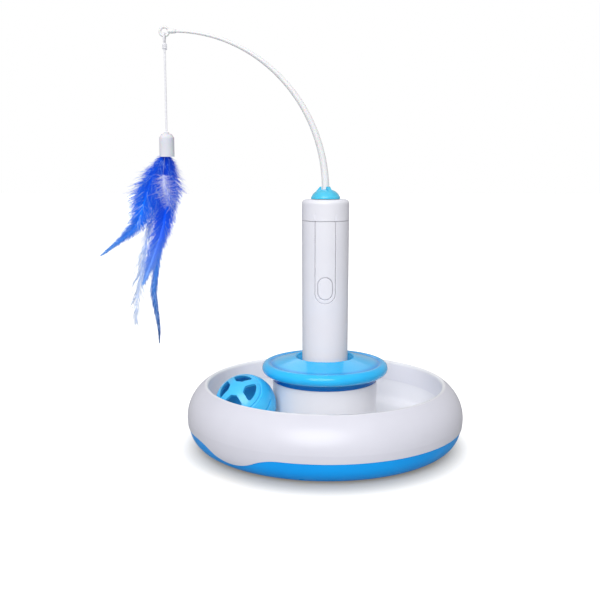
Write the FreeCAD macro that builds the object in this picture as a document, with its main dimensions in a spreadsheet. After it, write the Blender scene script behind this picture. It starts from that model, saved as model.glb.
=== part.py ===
"""Automatic cat toy: a round track base with a ball, and a motor wand that plugs into its hub.

Millimetres, +Z up. The origin lies on the hub's axis, on the plane that the toy stands on.
The front, where the button is, faces -Y, and the wand bends over towards -X.
"""
import FreeCAD, Part
import math
import os
import re

import Sketcher
from FreeCAD import Placement, Rotation, Vector

doc = FreeCAD.newDocument("CatToy")
sizes = doc.addObject("Spreadsheet::Sheet", "Sizes")
names = []


def size(**cells):
    """Write driving sizes, or formulas that start with an equals sign, into the sheet."""
    for name, value in cells.items():
        names.append(name)
        row = len(names)
        sizes.set("A%d" % row, name)
        sizes.set("B%d" % row, str(value))
        sizes.setAlias("B%d" % row, name)


# Base: the two outer shells
size(base_radius=120, widest_level=26.4, shoulder_radius=32.5, side_radius=41, corner_radius=19)
size(underside_level=0.4, parting_level=20, shell_wall=2.4, shell_overhang=0.6, seam_gap=0.15)
size(opening_radius=101.7, lip_radius=2, skirt_wall=2.2, skirt_draft=0.6, skirt_level=35.5)
size(wave_direction=231, wave_depth=10.5, wave_reach=46)
size(wave_bend="=((wave_reach / 2)^2 + (wave_depth / 2)^2) / wave_depth")
size(corner_level="=underside_level + corner_radius")
size(side_centre="=base_radius - side_radius", shoulder_centre="=base_radius - shoulder_radius")
size(corner_centre="=side_centre + sqrt((side_radius - corner_radius)^2"
                   " - (widest_level - corner_level)^2)")
size(corner_slope="=(widest_level - corner_level) / (side_radius - corner_radius)")
size(corner_reach="=sqrt(1 - corner_slope^2)")
size(lip_centre="=opening_radius + lip_radius")
size(lip_span="=shoulder_radius - lip_radius")
size(lip_level="=widest_level + sqrt(lip_span^2 - (lip_centre - shoulder_centre)^2)")
size(underside="=underside_level + shell_overhang", lip_cosine="=(lip_centre - shoulder_centre) / lip_span")
size(lip_sine="=(lip_level - widest_level) / lip_span")

# Base: the ball's track
size(track_level=15.5, groove_radius=73, groove_half=15, groove_depth=1.5, track_wall=2.2)
size(track_outer_radius=102.8, track_corner=5, hub_radius=45.3, hub_wall=2.4, hub_top=56.4)
size(collar_height=6, fit_gap=0.3, rib_wall=2, inner_rib=49, outer_rib=95, pad_gap=0.15)
size(groove_curve="=(groove_half^2 + groove_depth^2) / (2 * groove_depth)")
size(collar_radius="=hub_radius - hub_wall - fit_gap")
size(shell_floor="=underside + shell_wall", tray_under="=track_level - track_wall")

# Base: the disc over the hub and the socket for the handle
size(disc_radius=54.8, bead_radius=5, bead_level=67, crease_radius=47.3)
size(crease_level="=bead_level + sqrt(bead_radius^2 - (disc_radius - bead_radius - crease_radius)^2)")
size(mouth_radius=24.75, mouth_level=77, mouth_round=1.5, throat_level=66, disc_wall=2.4)
size(neck_radius=45, spigot_length=8, socket_gap=0.35, socket_wall=2.4, socket_top=49.5)
size(socket_flange=40.5, seat_level=21.8, guide_level=50)
size(flange_top="=shell_floor + seam_gap + socket_wall")

# Base: screws and the rubber ring
size(shell_screw_circle=108.5, hub_screw_circle=36, boss_radius=3.5, screw_radius=1.45)
size(screw_head_radius=2.7, screw_head_height=1.2, screw_length=14, screw_turn=21)
size(shell_screw_count=6, hub_screw_count=4, hub_boss_top=31, shell_boss_top=47.5)
size(well_radius=4.4, well_floor=8.4, well_top=11, slim_boss_radius=3, screw_clearance=0.25)
size(thread_gap=0.05, pad_radius=92, pad_width=9, pad_sink=1)

# Lattice ball
size(ball_radius=26, ball_wall=2.4, ball_turn=203.1, ball_gap=0.3, star_count=4, spoke_width=5.8)
size(hole_start=6.8, hole_end=15.8, hole_round=1.5, ring_angle=48, ring_cut=1.2)
size(slot_angle=73.6, slot_width=1.5, slot_sweep=50, slot_turn=73, ball_lean=42, ball_heading=249)
size(ball_seam=0.08, hole_slope="=tan(180 / star_count)")
size(hole_shift="=spoke_width / 2 / cos(180 / star_count)")
size(hole_corner="=(hole_slope * hole_shift + sqrt(hole_end^2 * (1 + hole_slope^2) - hole_shift^2))"
                 " / (1 + hole_slope^2)")
size(ball_level="=track_level - groove_depth + ball_gap + ball_radius")

# Handle: outer shells
size(handle_foot_radius=19.5, handle_top_radius=20.2, handle_foot=22.1, handle_top=195)
size(handle_bore=17.6, cap_gap=0.4, cap_top=213, cap_round=3.6, cap_wall=2.2, cap_roof=2.5)
size(cap_spigot=3, cap_spigot_wall=1, end_cap_floor=2.2, end_cap_plug=6, end_cap_plug_wall=1.8)
size(panel_width=17.5, panel_foot=125.7, panel_gap=0.25, panel_bevel=0.45, panel_line=1)
size(panel_line_depth=0.45, panel_line_top=202, button_bevel=0.5)
size(handle_draft="=(handle_top_radius - handle_foot_radius) / (handle_top - handle_foot)")
size(cap_foot="=handle_top + cap_gap", tube_foot="=handle_foot + end_cap_floor + seam_gap")
size(guide_bore="=handle_foot_radius + handle_draft * (mouth_level - handle_foot) + socket_gap")
size(socket_bore="=handle_foot_radius + handle_draft * (socket_top - handle_foot) + socket_gap")
size(panel_radius="=handle_bore + 0.1")

# Handle: the button and its switch
size(button_width=12.2, button_height=18.5, button_level=138.7, button_gap=0.3, button_proud=0.25)
size(button_flange=1.2, button_back=14.7, button_plate=1, board_front=9.6, board_thick=1.6)
size(board_width=20, board_foot=25, board_top=150, switch_side=6, switch_depth=3.6)
size(plunger_radius=1.6, plunger_length=2.4, plunger_gap=0.2)

# Handle: chassis, cell and charging port
size(chassis_radius=17.2, chassis_wall=1.4, chassis_foot=30.5, chassis_top=178.6, bulkhead=1.8)
size(bulkhead_front=7.8, cell_radius=9.1, cell_length=65, cell_foot=60, cell_offset=5)
size(cell_button_radius=3, cell_button_height=1.2, tab_thick=0.3, tab_width=6, cell_seat=0.8)
size(port_width=9, port_height=3.2, port_depth=7.4, port_wall=0.4, port_foot=22.5)
size(cap_screw_offset=13.6, cap_screw_depth=4, small_screw_radius=1, small_head_radius=1.9)
size(small_head_height=1.3, cap_screw_length=15, motor_screw_length=5, post_screw_length=8)

# Gearbox: motor, plates, posts, spindle and wheels
size(motor_radius=10, motor_flat=7.55, motor_length=24.5, motor_boss_radius=3)
size(motor_boss_height=1.7, motor_shaft_radius=1, plate_thick=2, lower_plate_radius=17.2)
size(upper_plate_radius=15.9, post_circle=13.9, post_angle=25, post_radius=2, spindle_radius=1)
size(gear_module=0.5, wheel_teeth=26, pinion_teeth=10, addendum_share=0.8, dedendum_share=1.1)
size(backlash=0.14, centre_slack=0.1, wheel_face=3, gear_gap=0.4, bore_gap=0.05)
size(shaft_radius=2, journal_radius=1, bush_wall=1.55, bush_flange=1, post_spigot=1.3, motor_screw_offset=8)
size(tooth_half="=pi * gear_module / 4 - backlash / 2", addendum="=addendum_share * gear_module")
size(dedendum="=dedendum_share * gear_module", flank="=tan(20)")
size(plate_level="=chassis_top + 0.4")
size(gear_level="=plate_level + plate_thick + gear_gap")
size(gear_step="=wheel_face + gear_gap")
size(upper_plate_level="=gear_level + 4 * gear_step + gear_gap")
size(axis_distance="=gear_module * (wheel_teeth + pinion_teeth) / 2 + centre_slack")

# Rotor and wand
size(dome_radius=12.4, dome_height=7.9, dome_gap=0.4, dome_edge=1.2, dome_curve=11)
size(prong_top=10.2, prong_width=3.4, prong_reach=9.6)
size(prong_count=3, prong_turn=300, wand_foot=218, wand_foot_radius=3.15, wand_tip_radius=1.1)
size(wand_length=206.2, wand_bend=83.7, wand_bend_gain=8.3, wand_clearance=0.4, wand_sections=10)
size(shaft_top="=cap_top + dome_gap + 4", dome_foot="=cap_top + dome_gap")
size(dome_top="=dome_foot + dome_height", socket_radius="=wand_foot_radius + 0.05")
size(dome_middle="=dome_radius - sqrt(dome_curve^2 - (dome_foot + dome_edge - dome_top + dome_curve)^2)")
size(ring_radius=3.6, ring_wire=1.1, ferrule_length=6, ferrule_wall=0.6)

# String and lure
size(string_radius=0.9, string_gap=0.1, knot_drop=8.5, knot_radius=2.2, string_bend=8)
size(lure_top=269, lure_gap=0.7, lure_radius=6.3, lure_length=20.5, lure_neck=2.2)
size(lure_shoulder=4.5, lure_bore=5.1, lure_bore_depth=13, feather_thick=1.2, feather_pitch=1.5)
doc.recompute()


def linked(text):
    """The same formula, with each name in it pointing to its cell."""
    def cell(word):
        return "Sizes." + word.group() if word.group() in names else word.group()
    return re.sub(r"[a-z_]+", cell, text)


def worth(text):
    """The number that a formula gives now."""
    return float(sizes.evalExpression(text))


def bind(thing, **formulas):
    """Tie properties to the sheet; two underscores in a property's name stand for a dot."""
    for name, formula in formulas.items():
        thing.setExpression(name.replace("__", "."), linked(formula))
    return thing


def new_body(label):
    body = doc.addObject("PartDesign::Body", label)
    body.Label = label
    return body


def origin_part(body, role):
    return next(item for item in body.Origin.OriginFeatures if item.Role == role)


def new_sketch(body, plane="XZ_Plane", level=None, turn=None):
    """A sketch on one of the body's own planes, raised by level along the plane's normal."""
    sketch = body.newObject("Sketcher::SketchObject", body.Label + "_sketch")
    sketch.AttachmentSupport = [(origin_part(body, plane), "")]
    sketch.MapMode = "FlatFace"
    if level is not None:
        sketch.AttachmentOffset = Placement(Vector(0, 0, worth(level)), Rotation())
        bind(sketch, AttachmentOffset__Base__z=level)
    if turn is not None:
        axis = Vector(0, 1, 0) if plane == "XZ_Plane" else Vector(0, 0, 1)
        base = sketch.AttachmentOffset.Base
        sketch.AttachmentOffset = Placement(base, Rotation(axis, worth(turn)))
        bind(sketch, AttachmentOffset__Rotation__Angle=turn)
    return sketch


def datum(sketch, kind, *where_and_value, formula):
    index = sketch.addConstraint(Sketcher.Constraint(kind, *where_and_value))
    sketch.setExpression("Constraints[%d]" % index, linked(formula))


def arc_through(start, end, radius, side):
    """A short arc from start to end; side is 1 where it bulges to the right of the way there."""
    chord = end.sub(start)
    rise = math.sqrt(max(radius ** 2 - chord.Length ** 2 / 4, 0))
    left = Vector(-chord.y, chord.x, 0).normalize()
    centre = start.add(end).multiply(0.5).add(left.multiply(rise * side))
    first, last = (start, end) if side > 0 else (end, start)
    angles = [math.atan2(point.y - centre.y, point.x - centre.x) for point in (first, last)]
    if angles[1] < angles[0]:
        angles[1] += 2 * math.pi
    return Part.ArcOfCircle(Part.Circle(centre, Vector(0, 0, 1), radius), *angles)


def outline(sketch, *corners, closed=True):
    """A line through corners. Each corner is (x, y), and (x, y, radius, side) starts an arc to the next."""
    points = [Vector(worth(corner[0]), worth(corner[1]), 0) for corner in corners]
    edges = []
    for number, corner in enumerate(corners if closed else corners[:-1]):
        start, end = points[number], points[(number + 1) % len(points)]
        if len(corner) == 2:
            edge = sketch.addGeometry(Part.LineSegment(start, end), False)
            edges.append((edge, 1, 2))
            continue
        arc = arc_through(start, end, worth(corner[2]), corner[3])
        edge = sketch.addGeometry(arc, False)
        edges.append((edge, 1, 2) if corner[3] > 0 else (edge, 2, 1))
        datum(sketch, "Radius", edge, worth(corner[2]), formula=corner[2])
    for number, corner in enumerate(corners):
        if number == len(edges):
            edge, _, start = edges[-1]
        else:
            edge, start, _ = edges[number]
        if closed or 0 < number < len(edges):
            before, _, end = edges[number - 1]
            sketch.addConstraint(Sketcher.Constraint("Coincident", before, end, edge, start))
        datum(sketch, "DistanceX", -1, 1, edge, start, points[number].x, formula=corner[0])
        datum(sketch, "DistanceY", -1, 1, edge, start, points[number].y, formula=corner[1])
    return sketch


def circle(sketch, x, y, radius):
    centre = Vector(worth(x), worth(y), 0)
    edge = sketch.addGeometry(Part.Circle(centre, Vector(0, 0, 1), worth(radius)), False)
    datum(sketch, "Radius", edge, worth(radius), formula=radius)
    datum(sketch, "DistanceX", -1, 1, edge, 3, centre.x, formula=x)
    datum(sketch, "DistanceY", -1, 1, edge, 3, centre.y, formula=y)
    return sketch


def oblong(sketch, x, y, width, height):
    """A slot shape with round ends, centred on x, y and lying along its longer side."""
    upright = worth(height) > worth(width)
    short, long = (width, height) if upright else (height, width)
    half, side, reach = "(%s) / 2" % short, "((%s) - (%s)) / 2" % (long, short), "(%s) / 2" % long
    if upright:
        return outline(sketch, (x + " - " + half, y + " + " + side),
                       (x + " - " + half, y + " - " + side, half, 1), (x, y + " - " + reach, half, 1),
                       (x + " + " + half, y + " - " + side),
                       (x + " + " + half, y + " + " + side, half, 1), (x, y + " + " + reach, half, 1))
    return outline(sketch, (x + " - " + side, y + " - " + half),
                   (x + " + " + side, y + " - " + half, half, 1), (x + " + " + reach, y, half, 1),
                   (x + " + " + side, y + " + " + half),
                   (x + " - " + side, y + " + " + half, half, 1), (x + " - " + reach, y, half, 1))


def rectangle(sketch, x, y, width, height):
    """An upright rectangle centred on x, y."""
    left, right = "%s - (%s) / 2" % (x, width), "%s + (%s) / 2" % (x, width)
    low, high = "%s - (%s) / 2" % (y, height), "%s + (%s) / 2" % (y, height)
    return outline(sketch, (left, low), (right, low), (right, high), (left, high))


def revolve(body, sketch, cut=False, sweep=None):
    kind = "PartDesign::Groove" if cut else "PartDesign::Revolution"
    feature = body.newObject(kind, body.Label + "_turn")
    feature.Profile = sketch
    feature.ReferenceAxis = (sketch, ["V_Axis"])
    feature.Angle = 360
    if sweep is not None:
        bind(feature, Angle=sweep)
        feature.Midplane = True
    return settled(body, feature, cut)


def extrude(body, sketch, length, cut=False, back=False, both=False):
    """Pad or pocket a sketch along its normal, against it (back), or half to each side (both)."""
    feature = body.newObject("PartDesign::Pocket" if cut else "PartDesign::Pad", body.Label + "_depth")
    feature.Profile = sketch
    feature.Length = worth(length)
    bind(feature, Length=length)
    feature.Reversed = back != cut
    feature.Midplane = both
    return settled(body, feature, cut)


def settled(body, feature, cut):
    """Recompute, and make sure that a cut removed something and a pad added something."""
    before = feature.BaseFeature.Shape.Volume if feature.BaseFeature else 0.0
    doc.recompute()
    change = feature.Shape.Volume - before
    if (change < 0) != cut or abs(change) < 1e-3:
        raise ValueError("%s changed the volume by %.4f" % (feature.Name, change))
    return feature


def round_the_axis(body, features, count, sketch=None):
    """Repeat features about the body's Z axis and make the pattern the body's tip."""
    pattern = body.newObject("PartDesign::PolarPattern", body.Label + "_pattern")
    pattern.Originals = features
    pattern.Axis = (sketch, ["N_Axis"]) if sketch else (origin_part(body, "Z_Axis"), [""])
    pattern.Angle = 360
    pattern.Occurrences = int(worth(count))
    bind(pattern, Occurrences=count)
    body.Tip = pattern
    doc.recompute()
    return pattern


def dress_edges(body, feature, kind, amount, wanted):
    """Fillet or chamfer each wanted edge of a feature, by an amount from the sheet."""
    edges = ["Edge%d" % (number + 1) for number, edge in enumerate(feature.Shape.Edges)
             if len(edge.Vertexes) == 2 and wanted(edge)]
    dressed = body.newObject(kind, body.Label + "_edges")
    dressed.Base = (feature, edges)
    bind(dressed, **{"Radius" if kind.endswith("Fillet") else "Size": amount})
    body.Tip = dressed
    return settled(body, dressed, cut=True) if kind.endswith("Chamfer") else recomputed(dressed)


def recomputed(feature):
    doc.recompute()
    if feature.Shape.isNull():
        raise ValueError("%s has no shape" % feature.Name)
    return feature


def upright(edge):
    """Whether an edge runs straight up."""
    span = edge.Vertexes[1].Point.sub(edge.Vertexes[0].Point)
    return abs(span.z) > 1 and math.hypot(span.x, span.y) < 1e-4


def solid(kind, label, **formulas):
    """A Part primitive whose sizes and place are tied to the sheet."""
    piece = doc.addObject(kind, label)
    piece.Label = label
    return bind(piece, **formulas)


def joined(label, pieces):
    """One node made of several pieces that stand apart, such as a set of screws."""
    group = doc.addObject("Part::MultiFuse", label)
    group.Label = label
    group.Shapes = pieces
    return group


def less(label, base, *tools):
    """The base with each tool cut out of it."""
    for number, tool in enumerate(tools):
        cut = doc.addObject("Part::Cut", "%s_cut%d" % (label, number))
        cut.Base = base
        cut.Tool = tool
        base = cut
    base.Label = label
    return base


# Outer shells of the base

def shell_side(offset):
    """The lower outline from the flat underside up to the widest line, set in by offset."""
    lean = "(%s)" % offset
    corner = "corner_radius - " + lean
    side = "side_radius - " + lean
    join = ("corner_centre + corner_reach * (%s)" % corner, "corner_level - corner_slope * (%s)" % corner)
    return corner, side, join


def parting_cuts(body, above):
    """Cut a shell along the parting line, which is level but for one dip at the front left."""
    line = "parting_level - seam_gap" if above else "parting_level"
    far, edge = "base_radius + 10", "base_radius" if above else "-10"
    left, turn = "-(%s)" % far, "wave_direction + 90"
    flat = new_sketch(body, turn=turn)
    outline(flat, (left, edge), (far, edge), (far, line), (left, line))
    extrude(body, flat, far, cut=True, back=True)
    wave = new_sketch(body, turn=turn)
    halfway = line + " - wave_depth / 2"
    outline(wave, (left, edge), (far, edge), (far, line), ("wave_reach", line, "wave_bend", 1),
            ("wave_reach / 2", halfway, "wave_bend", -1), ("0", line + " - wave_depth", "wave_bend", -1),
            ("-wave_reach / 2", halfway, "wave_bend", 1), ("-wave_reach", line), (left, line))
    extrude(body, wave, far, cut=True)


def boss_sketch(body, level, circle_radius, radius, turn="0"):
    """A round sketch on a circle about the axis, at an angle from +X."""
    sketch = new_sketch(body, "XY_Plane", level=level)
    place = "(%s) * %s(%s)"
    return circle(sketch, place % (circle_radius, "cos", turn), place % (circle_radius, "sin", turn), radius)


def screw_set(label, head_level, circle_radius, count, turn="0"):
    """Self-tapping screws that go in from below, on a circle about the axis."""
    pieces = []
    for number in range(int(worth(count))):
        angle = "%s + %d * 360 / %s" % (turn, number, count)
        place = {"Placement__Base__x": "%s * cos(%s)" % (circle_radius, angle),
                 "Placement__Base__y": "%s * sin(%s)" % (circle_radius, angle)}
        pieces.append(solid("Part::Cylinder", label + "_head", Radius="screw_head_radius",
                            Height="screw_head_height", Placement__Base__z=head_level, **place))
        pieces.append(solid("Part::Cylinder", label + "_shank", Radius="screw_radius",
                            Height="screw_length", Placement__Base__z=head_level, **place))
    return joined(label, pieces)


def make_bottom_shell():
    """The blue pan: floor, two ribs under the track, screw wells and a groove for the rubber ring."""
    body = new_body("bottom_shell")
    corner, side, join = shell_side("shell_overhang")
    in_corner, in_side, in_join = shell_side("shell_overhang + shell_wall")
    edge = "base_radius - shell_overhang"
    rib_top = "tray_under - seam_gap"
    outline(new_sketch(body), ("0", "underside"), ("corner_centre", "underside", corner, 1),
            (*join, side, 1), (edge, "widest_level"), (edge + " - shell_wall", "widest_level", in_side, -1),
            (*in_join, in_corner, -1), ("corner_centre", "shell_floor"),
            ("outer_rib + rib_wall", "shell_floor"), ("outer_rib + rib_wall", rib_top),
            ("outer_rib", rib_top), ("outer_rib", "shell_floor"), ("inner_rib + rib_wall", "shell_floor"),
            ("inner_rib + rib_wall", rib_top), ("inner_rib", rib_top), ("inner_rib", "shell_floor"),
            ("0", "shell_floor"))
    revolve(body, body.Group[-1])
    parting_cuts(body, above=True)
    well = boss_sketch(body, "shell_floor - 0.2", "shell_screw_circle", "well_radius", "screw_turn")
    well = extrude(body, well, "well_top - shell_floor + 0.2")
    round_the_axis(body, [well], "shell_screw_count")
    trim = new_sketch(body)
    outline(trim, ("corner_centre", "underside", corner, 1), (*join, side, 1), (edge, "widest_level"),
            ("base_radius + 10", "widest_level"), ("base_radius + 10", "underside - 10"),
            ("corner_centre", "underside - 10"))
    revolve(body, trim, cut=True)
    head = "screw_head_radius + screw_clearance"
    shank = "screw_radius + screw_clearance"
    for circle_radius, turn, count, sunk, through in (
            ("shell_screw_circle", "screw_turn", "shell_screw_count", "well_floor", "well_top + 1"),
            ("hub_screw_circle", "0", "hub_screw_count", "underside + screw_head_height", "shell_floor + 1")):
        for radius, depth in ((head, sunk), (shank, through)):
            hole = extrude(body, boss_sketch(body, "0", circle_radius, radius, turn), depth, cut=True)
            round_the_axis(body, [hole], count)
    groove = new_sketch(body)
    outline(groove, ("pad_radius - pad_width - pad_gap", "0"), ("pad_radius + pad_gap", "0"),
            ("pad_radius + pad_gap", "underside + pad_sink"),
            ("pad_radius - pad_width - pad_gap", "underside + pad_sink"))
    revolve(body, groove, cut=True)


def make_ring_housing():
    """The white ring: rounded sides, a rolled lip round the opening and a short skirt inside it."""
    body = new_body("ring_housing")
    corner, side, join = shell_side("0")
    in_corner, in_side, in_join = shell_side("shell_wall")
    foot = "parting_level - wave_depth - 1"
    foot_radius = "corner_centre + sqrt((%s)^2 - (corner_level - parting_level + wave_depth + 1)^2)"
    skirt = "opening_radius + skirt_draft"
    inner = "shoulder_radius - shell_wall"
    skirt_top = "widest_level + sqrt((%s)^2 - (%s + skirt_wall - shoulder_centre)^2)" % (inner, skirt)
    outline(new_sketch(body), (foot_radius % corner, foot, corner, 1), (*join, side, 1),
            ("base_radius", "widest_level", "shoulder_radius", 1),
            ("shoulder_centre + shoulder_radius * lip_cosine", "widest_level + shoulder_radius * lip_sine",
             "lip_radius", 1),
            ("opening_radius", "lip_level"), (skirt, "skirt_level"), (skirt + " + skirt_wall", "skirt_level"),
            (skirt + " + skirt_wall", skirt_top, inner, -1),
            ("base_radius - shell_wall", "widest_level", in_side, -1), (*in_join, in_corner, -1),
            (foot_radius % in_corner, foot))
    revolve(body, body.Group[-1])
    parting_cuts(body, above=False)
    boss = extrude(body, boss_sketch(body, "well_top + seam_gap", "shell_screw_circle", "slim_boss_radius",
                                     "screw_turn"), "shell_boss_top - well_top - seam_gap")
    round_the_axis(body, [boss], "shell_screw_count")
    hole = extrude(body, boss_sketch(body, "well_top", "shell_screw_circle", "screw_radius + thread_gap",
                                     "screw_turn"), "screw_length", cut=True)
    round_the_axis(body, [hole], "shell_screw_count")


def make_track_tray():
    """The white floor that the ball rolls on, with a shallow groove, an outer wall and a collar."""
    body = new_body("track_tray")
    wall = "track_outer_radius + track_wall"
    near, far = "groove_radius - groove_half", "groove_radius + groove_half"
    inside = "collar_radius - track_wall"
    outline(new_sketch(body), (inside, "tray_under"), (near, "tray_under", "groove_curve", 1),
            (far, "tray_under"), (wall, "tray_under"), (wall, "skirt_level - seam_gap"),
            ("track_outer_radius", "skirt_level - seam_gap"),
            ("track_outer_radius", "track_level + track_corner", "track_corner", -1),
            ("track_outer_radius - track_corner", "track_level"), (far, "track_level", "groove_curve", -1),
            (near, "track_level"), ("collar_radius", "track_level"),
            ("collar_radius", "track_level + collar_height"), (inside, "track_level + collar_height"))
    revolve(body, body.Group[-1])


def make_hub_sleeve():
    """The white drum in the middle, with four screw bosses webbed to its wall."""
    body = new_body("hub_sleeve")
    inner = "hub_radius - hub_wall"
    outline(new_sketch(body), (inner, "track_level + seam_gap"), ("hub_radius", "track_level + seam_gap"),
            ("hub_radius", "hub_top"), (inner, "hub_top"))
    revolve(body, body.Group[-1])
    boss = extrude(body, boss_sketch(body, "flange_top + seam_gap", "hub_screw_circle", "boss_radius"),
                   "hub_boss_top - flange_top - seam_gap")
    round_the_axis(body, [boss], "hub_screw_count")
    web = new_sketch(body, "XY_Plane", level="track_level + collar_height + fit_gap")
    outline(web, ("hub_screw_circle", "-rib_wall / 2"), ("hub_radius - 1", "-rib_wall / 2"),
            ("hub_radius - 1", "rib_wall / 2"), ("hub_screw_circle", "rib_wall / 2"))
    web = extrude(body, web, "hub_boss_top - track_level - collar_height - fit_gap")
    round_the_axis(body, [web], "hub_screw_count")
    hole = extrude(body, boss_sketch(body, "flange_top", "hub_screw_circle", "screw_radius + thread_gap"),
                   "screw_length", cut=True)
    round_the_axis(body, [hole], "hub_screw_count")


def make_track_disc():
    """The blue disc that keeps the ball in: a bead round a dish, a neck, and a funnel to the guide."""
    body = new_body("track_disc")
    bead = "disc_radius - bead_radius"
    guide = "guide_bore + disc_wall"
    spigot_in = "collar_radius - disc_wall"
    outline(new_sketch(body), ("guide_bore", "guide_level"), (guide, "guide_level"),
            (guide, "throat_level - 0.55"), ("mouth_radius + disc_wall", "mouth_level - disc_wall - 0.4"),
            (spigot_in, "crease_level - disc_wall"),
            (spigot_in, "hub_top - spigot_length"), ("collar_radius", "hub_top - spigot_length"),
            ("collar_radius", "hub_top + seam_gap"), ("neck_radius", "hub_top + seam_gap"),
            ("neck_radius", "bead_level - bead_radius"), (bead, "bead_level - bead_radius", "bead_radius", 1),
            ("disc_radius", "bead_level", "bead_radius", 1), ("crease_radius", "crease_level"),
            ("mouth_radius + mouth_round", "mouth_level", "mouth_round", 1),
            ("mouth_radius", "mouth_level - mouth_round"), ("guide_bore", "throat_level"))
    revolve(body, body.Group[-1])


def make_socket_cup():
    """The cup that the handle stands in, on a flange held by the hub's screws."""
    body = new_body("socket_cup")
    outside = "socket_bore + socket_wall"
    under_seat = "seat_level - socket_wall"
    foot = "shell_floor + seam_gap"
    outline(new_sketch(body), ("0", under_seat), ("socket_bore", under_seat), ("socket_bore", foot),
            ("socket_flange", foot), ("socket_flange", "flange_top"), (outside, "flange_top"),
            (outside, "socket_top"), ("socket_bore", "socket_top"), ("socket_bore", "seat_level"),
            ("0", "seat_level"))
    revolve(body, body.Group[-1])
    hole = extrude(body, boss_sketch(body, "0", "hub_screw_circle", "screw_radius + screw_clearance"),
                   "flange_top + 1", cut=True)
    round_the_axis(body, [hole], "hub_screw_count")


def make_anti_slip_ring():
    """The rubber ring under the base, which is what the toy stands on."""
    body = new_body("anti_slip_ring")
    outline(new_sketch(body), ("pad_radius - pad_width", "0"), ("pad_radius", "0"),
            ("pad_radius", "underside + pad_sink - pad_gap"),
            ("pad_radius - pad_width", "underside + pad_sink - pad_gap"))
    revolve(body, body.Group[-1])


# The ball: two pierced half shells on one leaning axis

def make_ball_half(label, flip):
    """Half of the lattice ball, drawn with its pole up and then leant over in the track."""
    body = new_body(label)
    inner = "ball_radius - ball_wall"
    outline(new_sketch(body), ("sqrt((%s)^2 - ball_seam^2)" % inner, "ball_seam"),
            ("sqrt(ball_radius^2 - ball_seam^2)", "ball_seam", "ball_radius", 1), ("0", "ball_radius"),
            ("0", inner, inner, -1))
    revolve(body, body.Group[-1])
    ring = new_sketch(body)
    circle(ring, "ball_radius * sin(ring_angle)", "ball_radius * cos(ring_angle)", "ring_cut")
    revolve(body, ring, cut=True)
    window = new_sketch(body, "XY_Plane")
    near, across = "hole_start * hole_slope - hole_shift", "hole_corner * hole_slope - hole_shift"
    outline(window, ("hole_start", "-(%s)" % near), ("hole_corner", "-(%s)" % across, "hole_end", 1),
            ("hole_corner", across), ("hole_start", near))
    window = extrude(body, window, "ball_radius + 1", cut=True)
    window = round_the_axis(body, [window], "star_count")
    dress_edges(body, window, "PartDesign::Fillet", "hole_round", upright)
    slot = new_sketch(body, turn="slot_turn")
    inside, outside = "(ball_radius - 3 * ball_wall)", "(ball_radius + 1)"
    rectangle(slot, "(%s + %s) / 2" % (inside, outside), "ball_radius * cos(slot_angle)",
              outside + " - " + inside, "slot_width")
    slot = revolve(body, slot, cut=True, sweep="slot_sweep")
    round_the_axis(body, [slot], "star_count")
    heading = Rotation(Vector(0, 0, 1), worth("ball_heading"))
    lean = heading.multiply(Rotation(Vector(0, 1, 0), worth("ball_lean")))
    if flip:
        lean = lean.multiply(Rotation(Vector(1, 0, 0), 180))
    body.Placement = Placement(Vector(), lean)
    bind(body, Placement__Base__x="groove_radius * cos(ball_turn)", Placement__Base__z="ball_level",
         Placement__Base__y="groove_radius * sin(ball_turn)")


# Handle: outer shells, button and everything inside

HANDLE_SIDE = "(handle_foot_radius + handle_draft * (%s - handle_foot))"


def on_handle_front(proud, low, high):
    """A test for edges that lie in the handle's outer face, or proud of it, between two levels."""
    def wanted(edge):
        span = edge.LastParameter - edge.FirstParameter
        points = [edge.valueAt(edge.FirstParameter + span * share) for share in (0.1, 0.5, 0.9)]
        return all(point.y < 0 and worth(low) < point.z < worth(high)
                   and abs(math.hypot(point.x, point.y) - worth(HANDLE_SIDE % point.z) - worth(proud)) < 0.02
                   for point in points)
    return wanted


def panel_outline(sketch, gap):
    """The U-shaped outline of the front panel, set in by a gap."""
    half = "(panel_width / 2 - %s)" % gap
    low, high = "panel_foot + panel_width / 2", "handle_top + 1"
    return outline(sketch, ("-" + half, high), ("-" + half, low, half, 1),
                   ("0", "panel_foot + " + gap, half, 1), (half, low), (half, high))


def make_handle_tube():
    body = new_body("handle_tube")
    outline(new_sketch(body), ("handle_bore", "tube_foot"), (HANDLE_SIDE % "tube_foot", "tube_foot"),
            (HANDLE_SIDE % "handle_top", "handle_top"), ("handle_bore", "handle_top"))
    revolve(body, body.Group[-1])
    opening = extrude(body, panel_outline(new_sketch(body), "0"), "handle_top_radius + 2", cut=True)
    dress_edges(body, opening, "PartDesign::Chamfer", "panel_bevel",
                on_handle_front("0", "panel_foot - 1", "handle_top - 0.01"))


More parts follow.
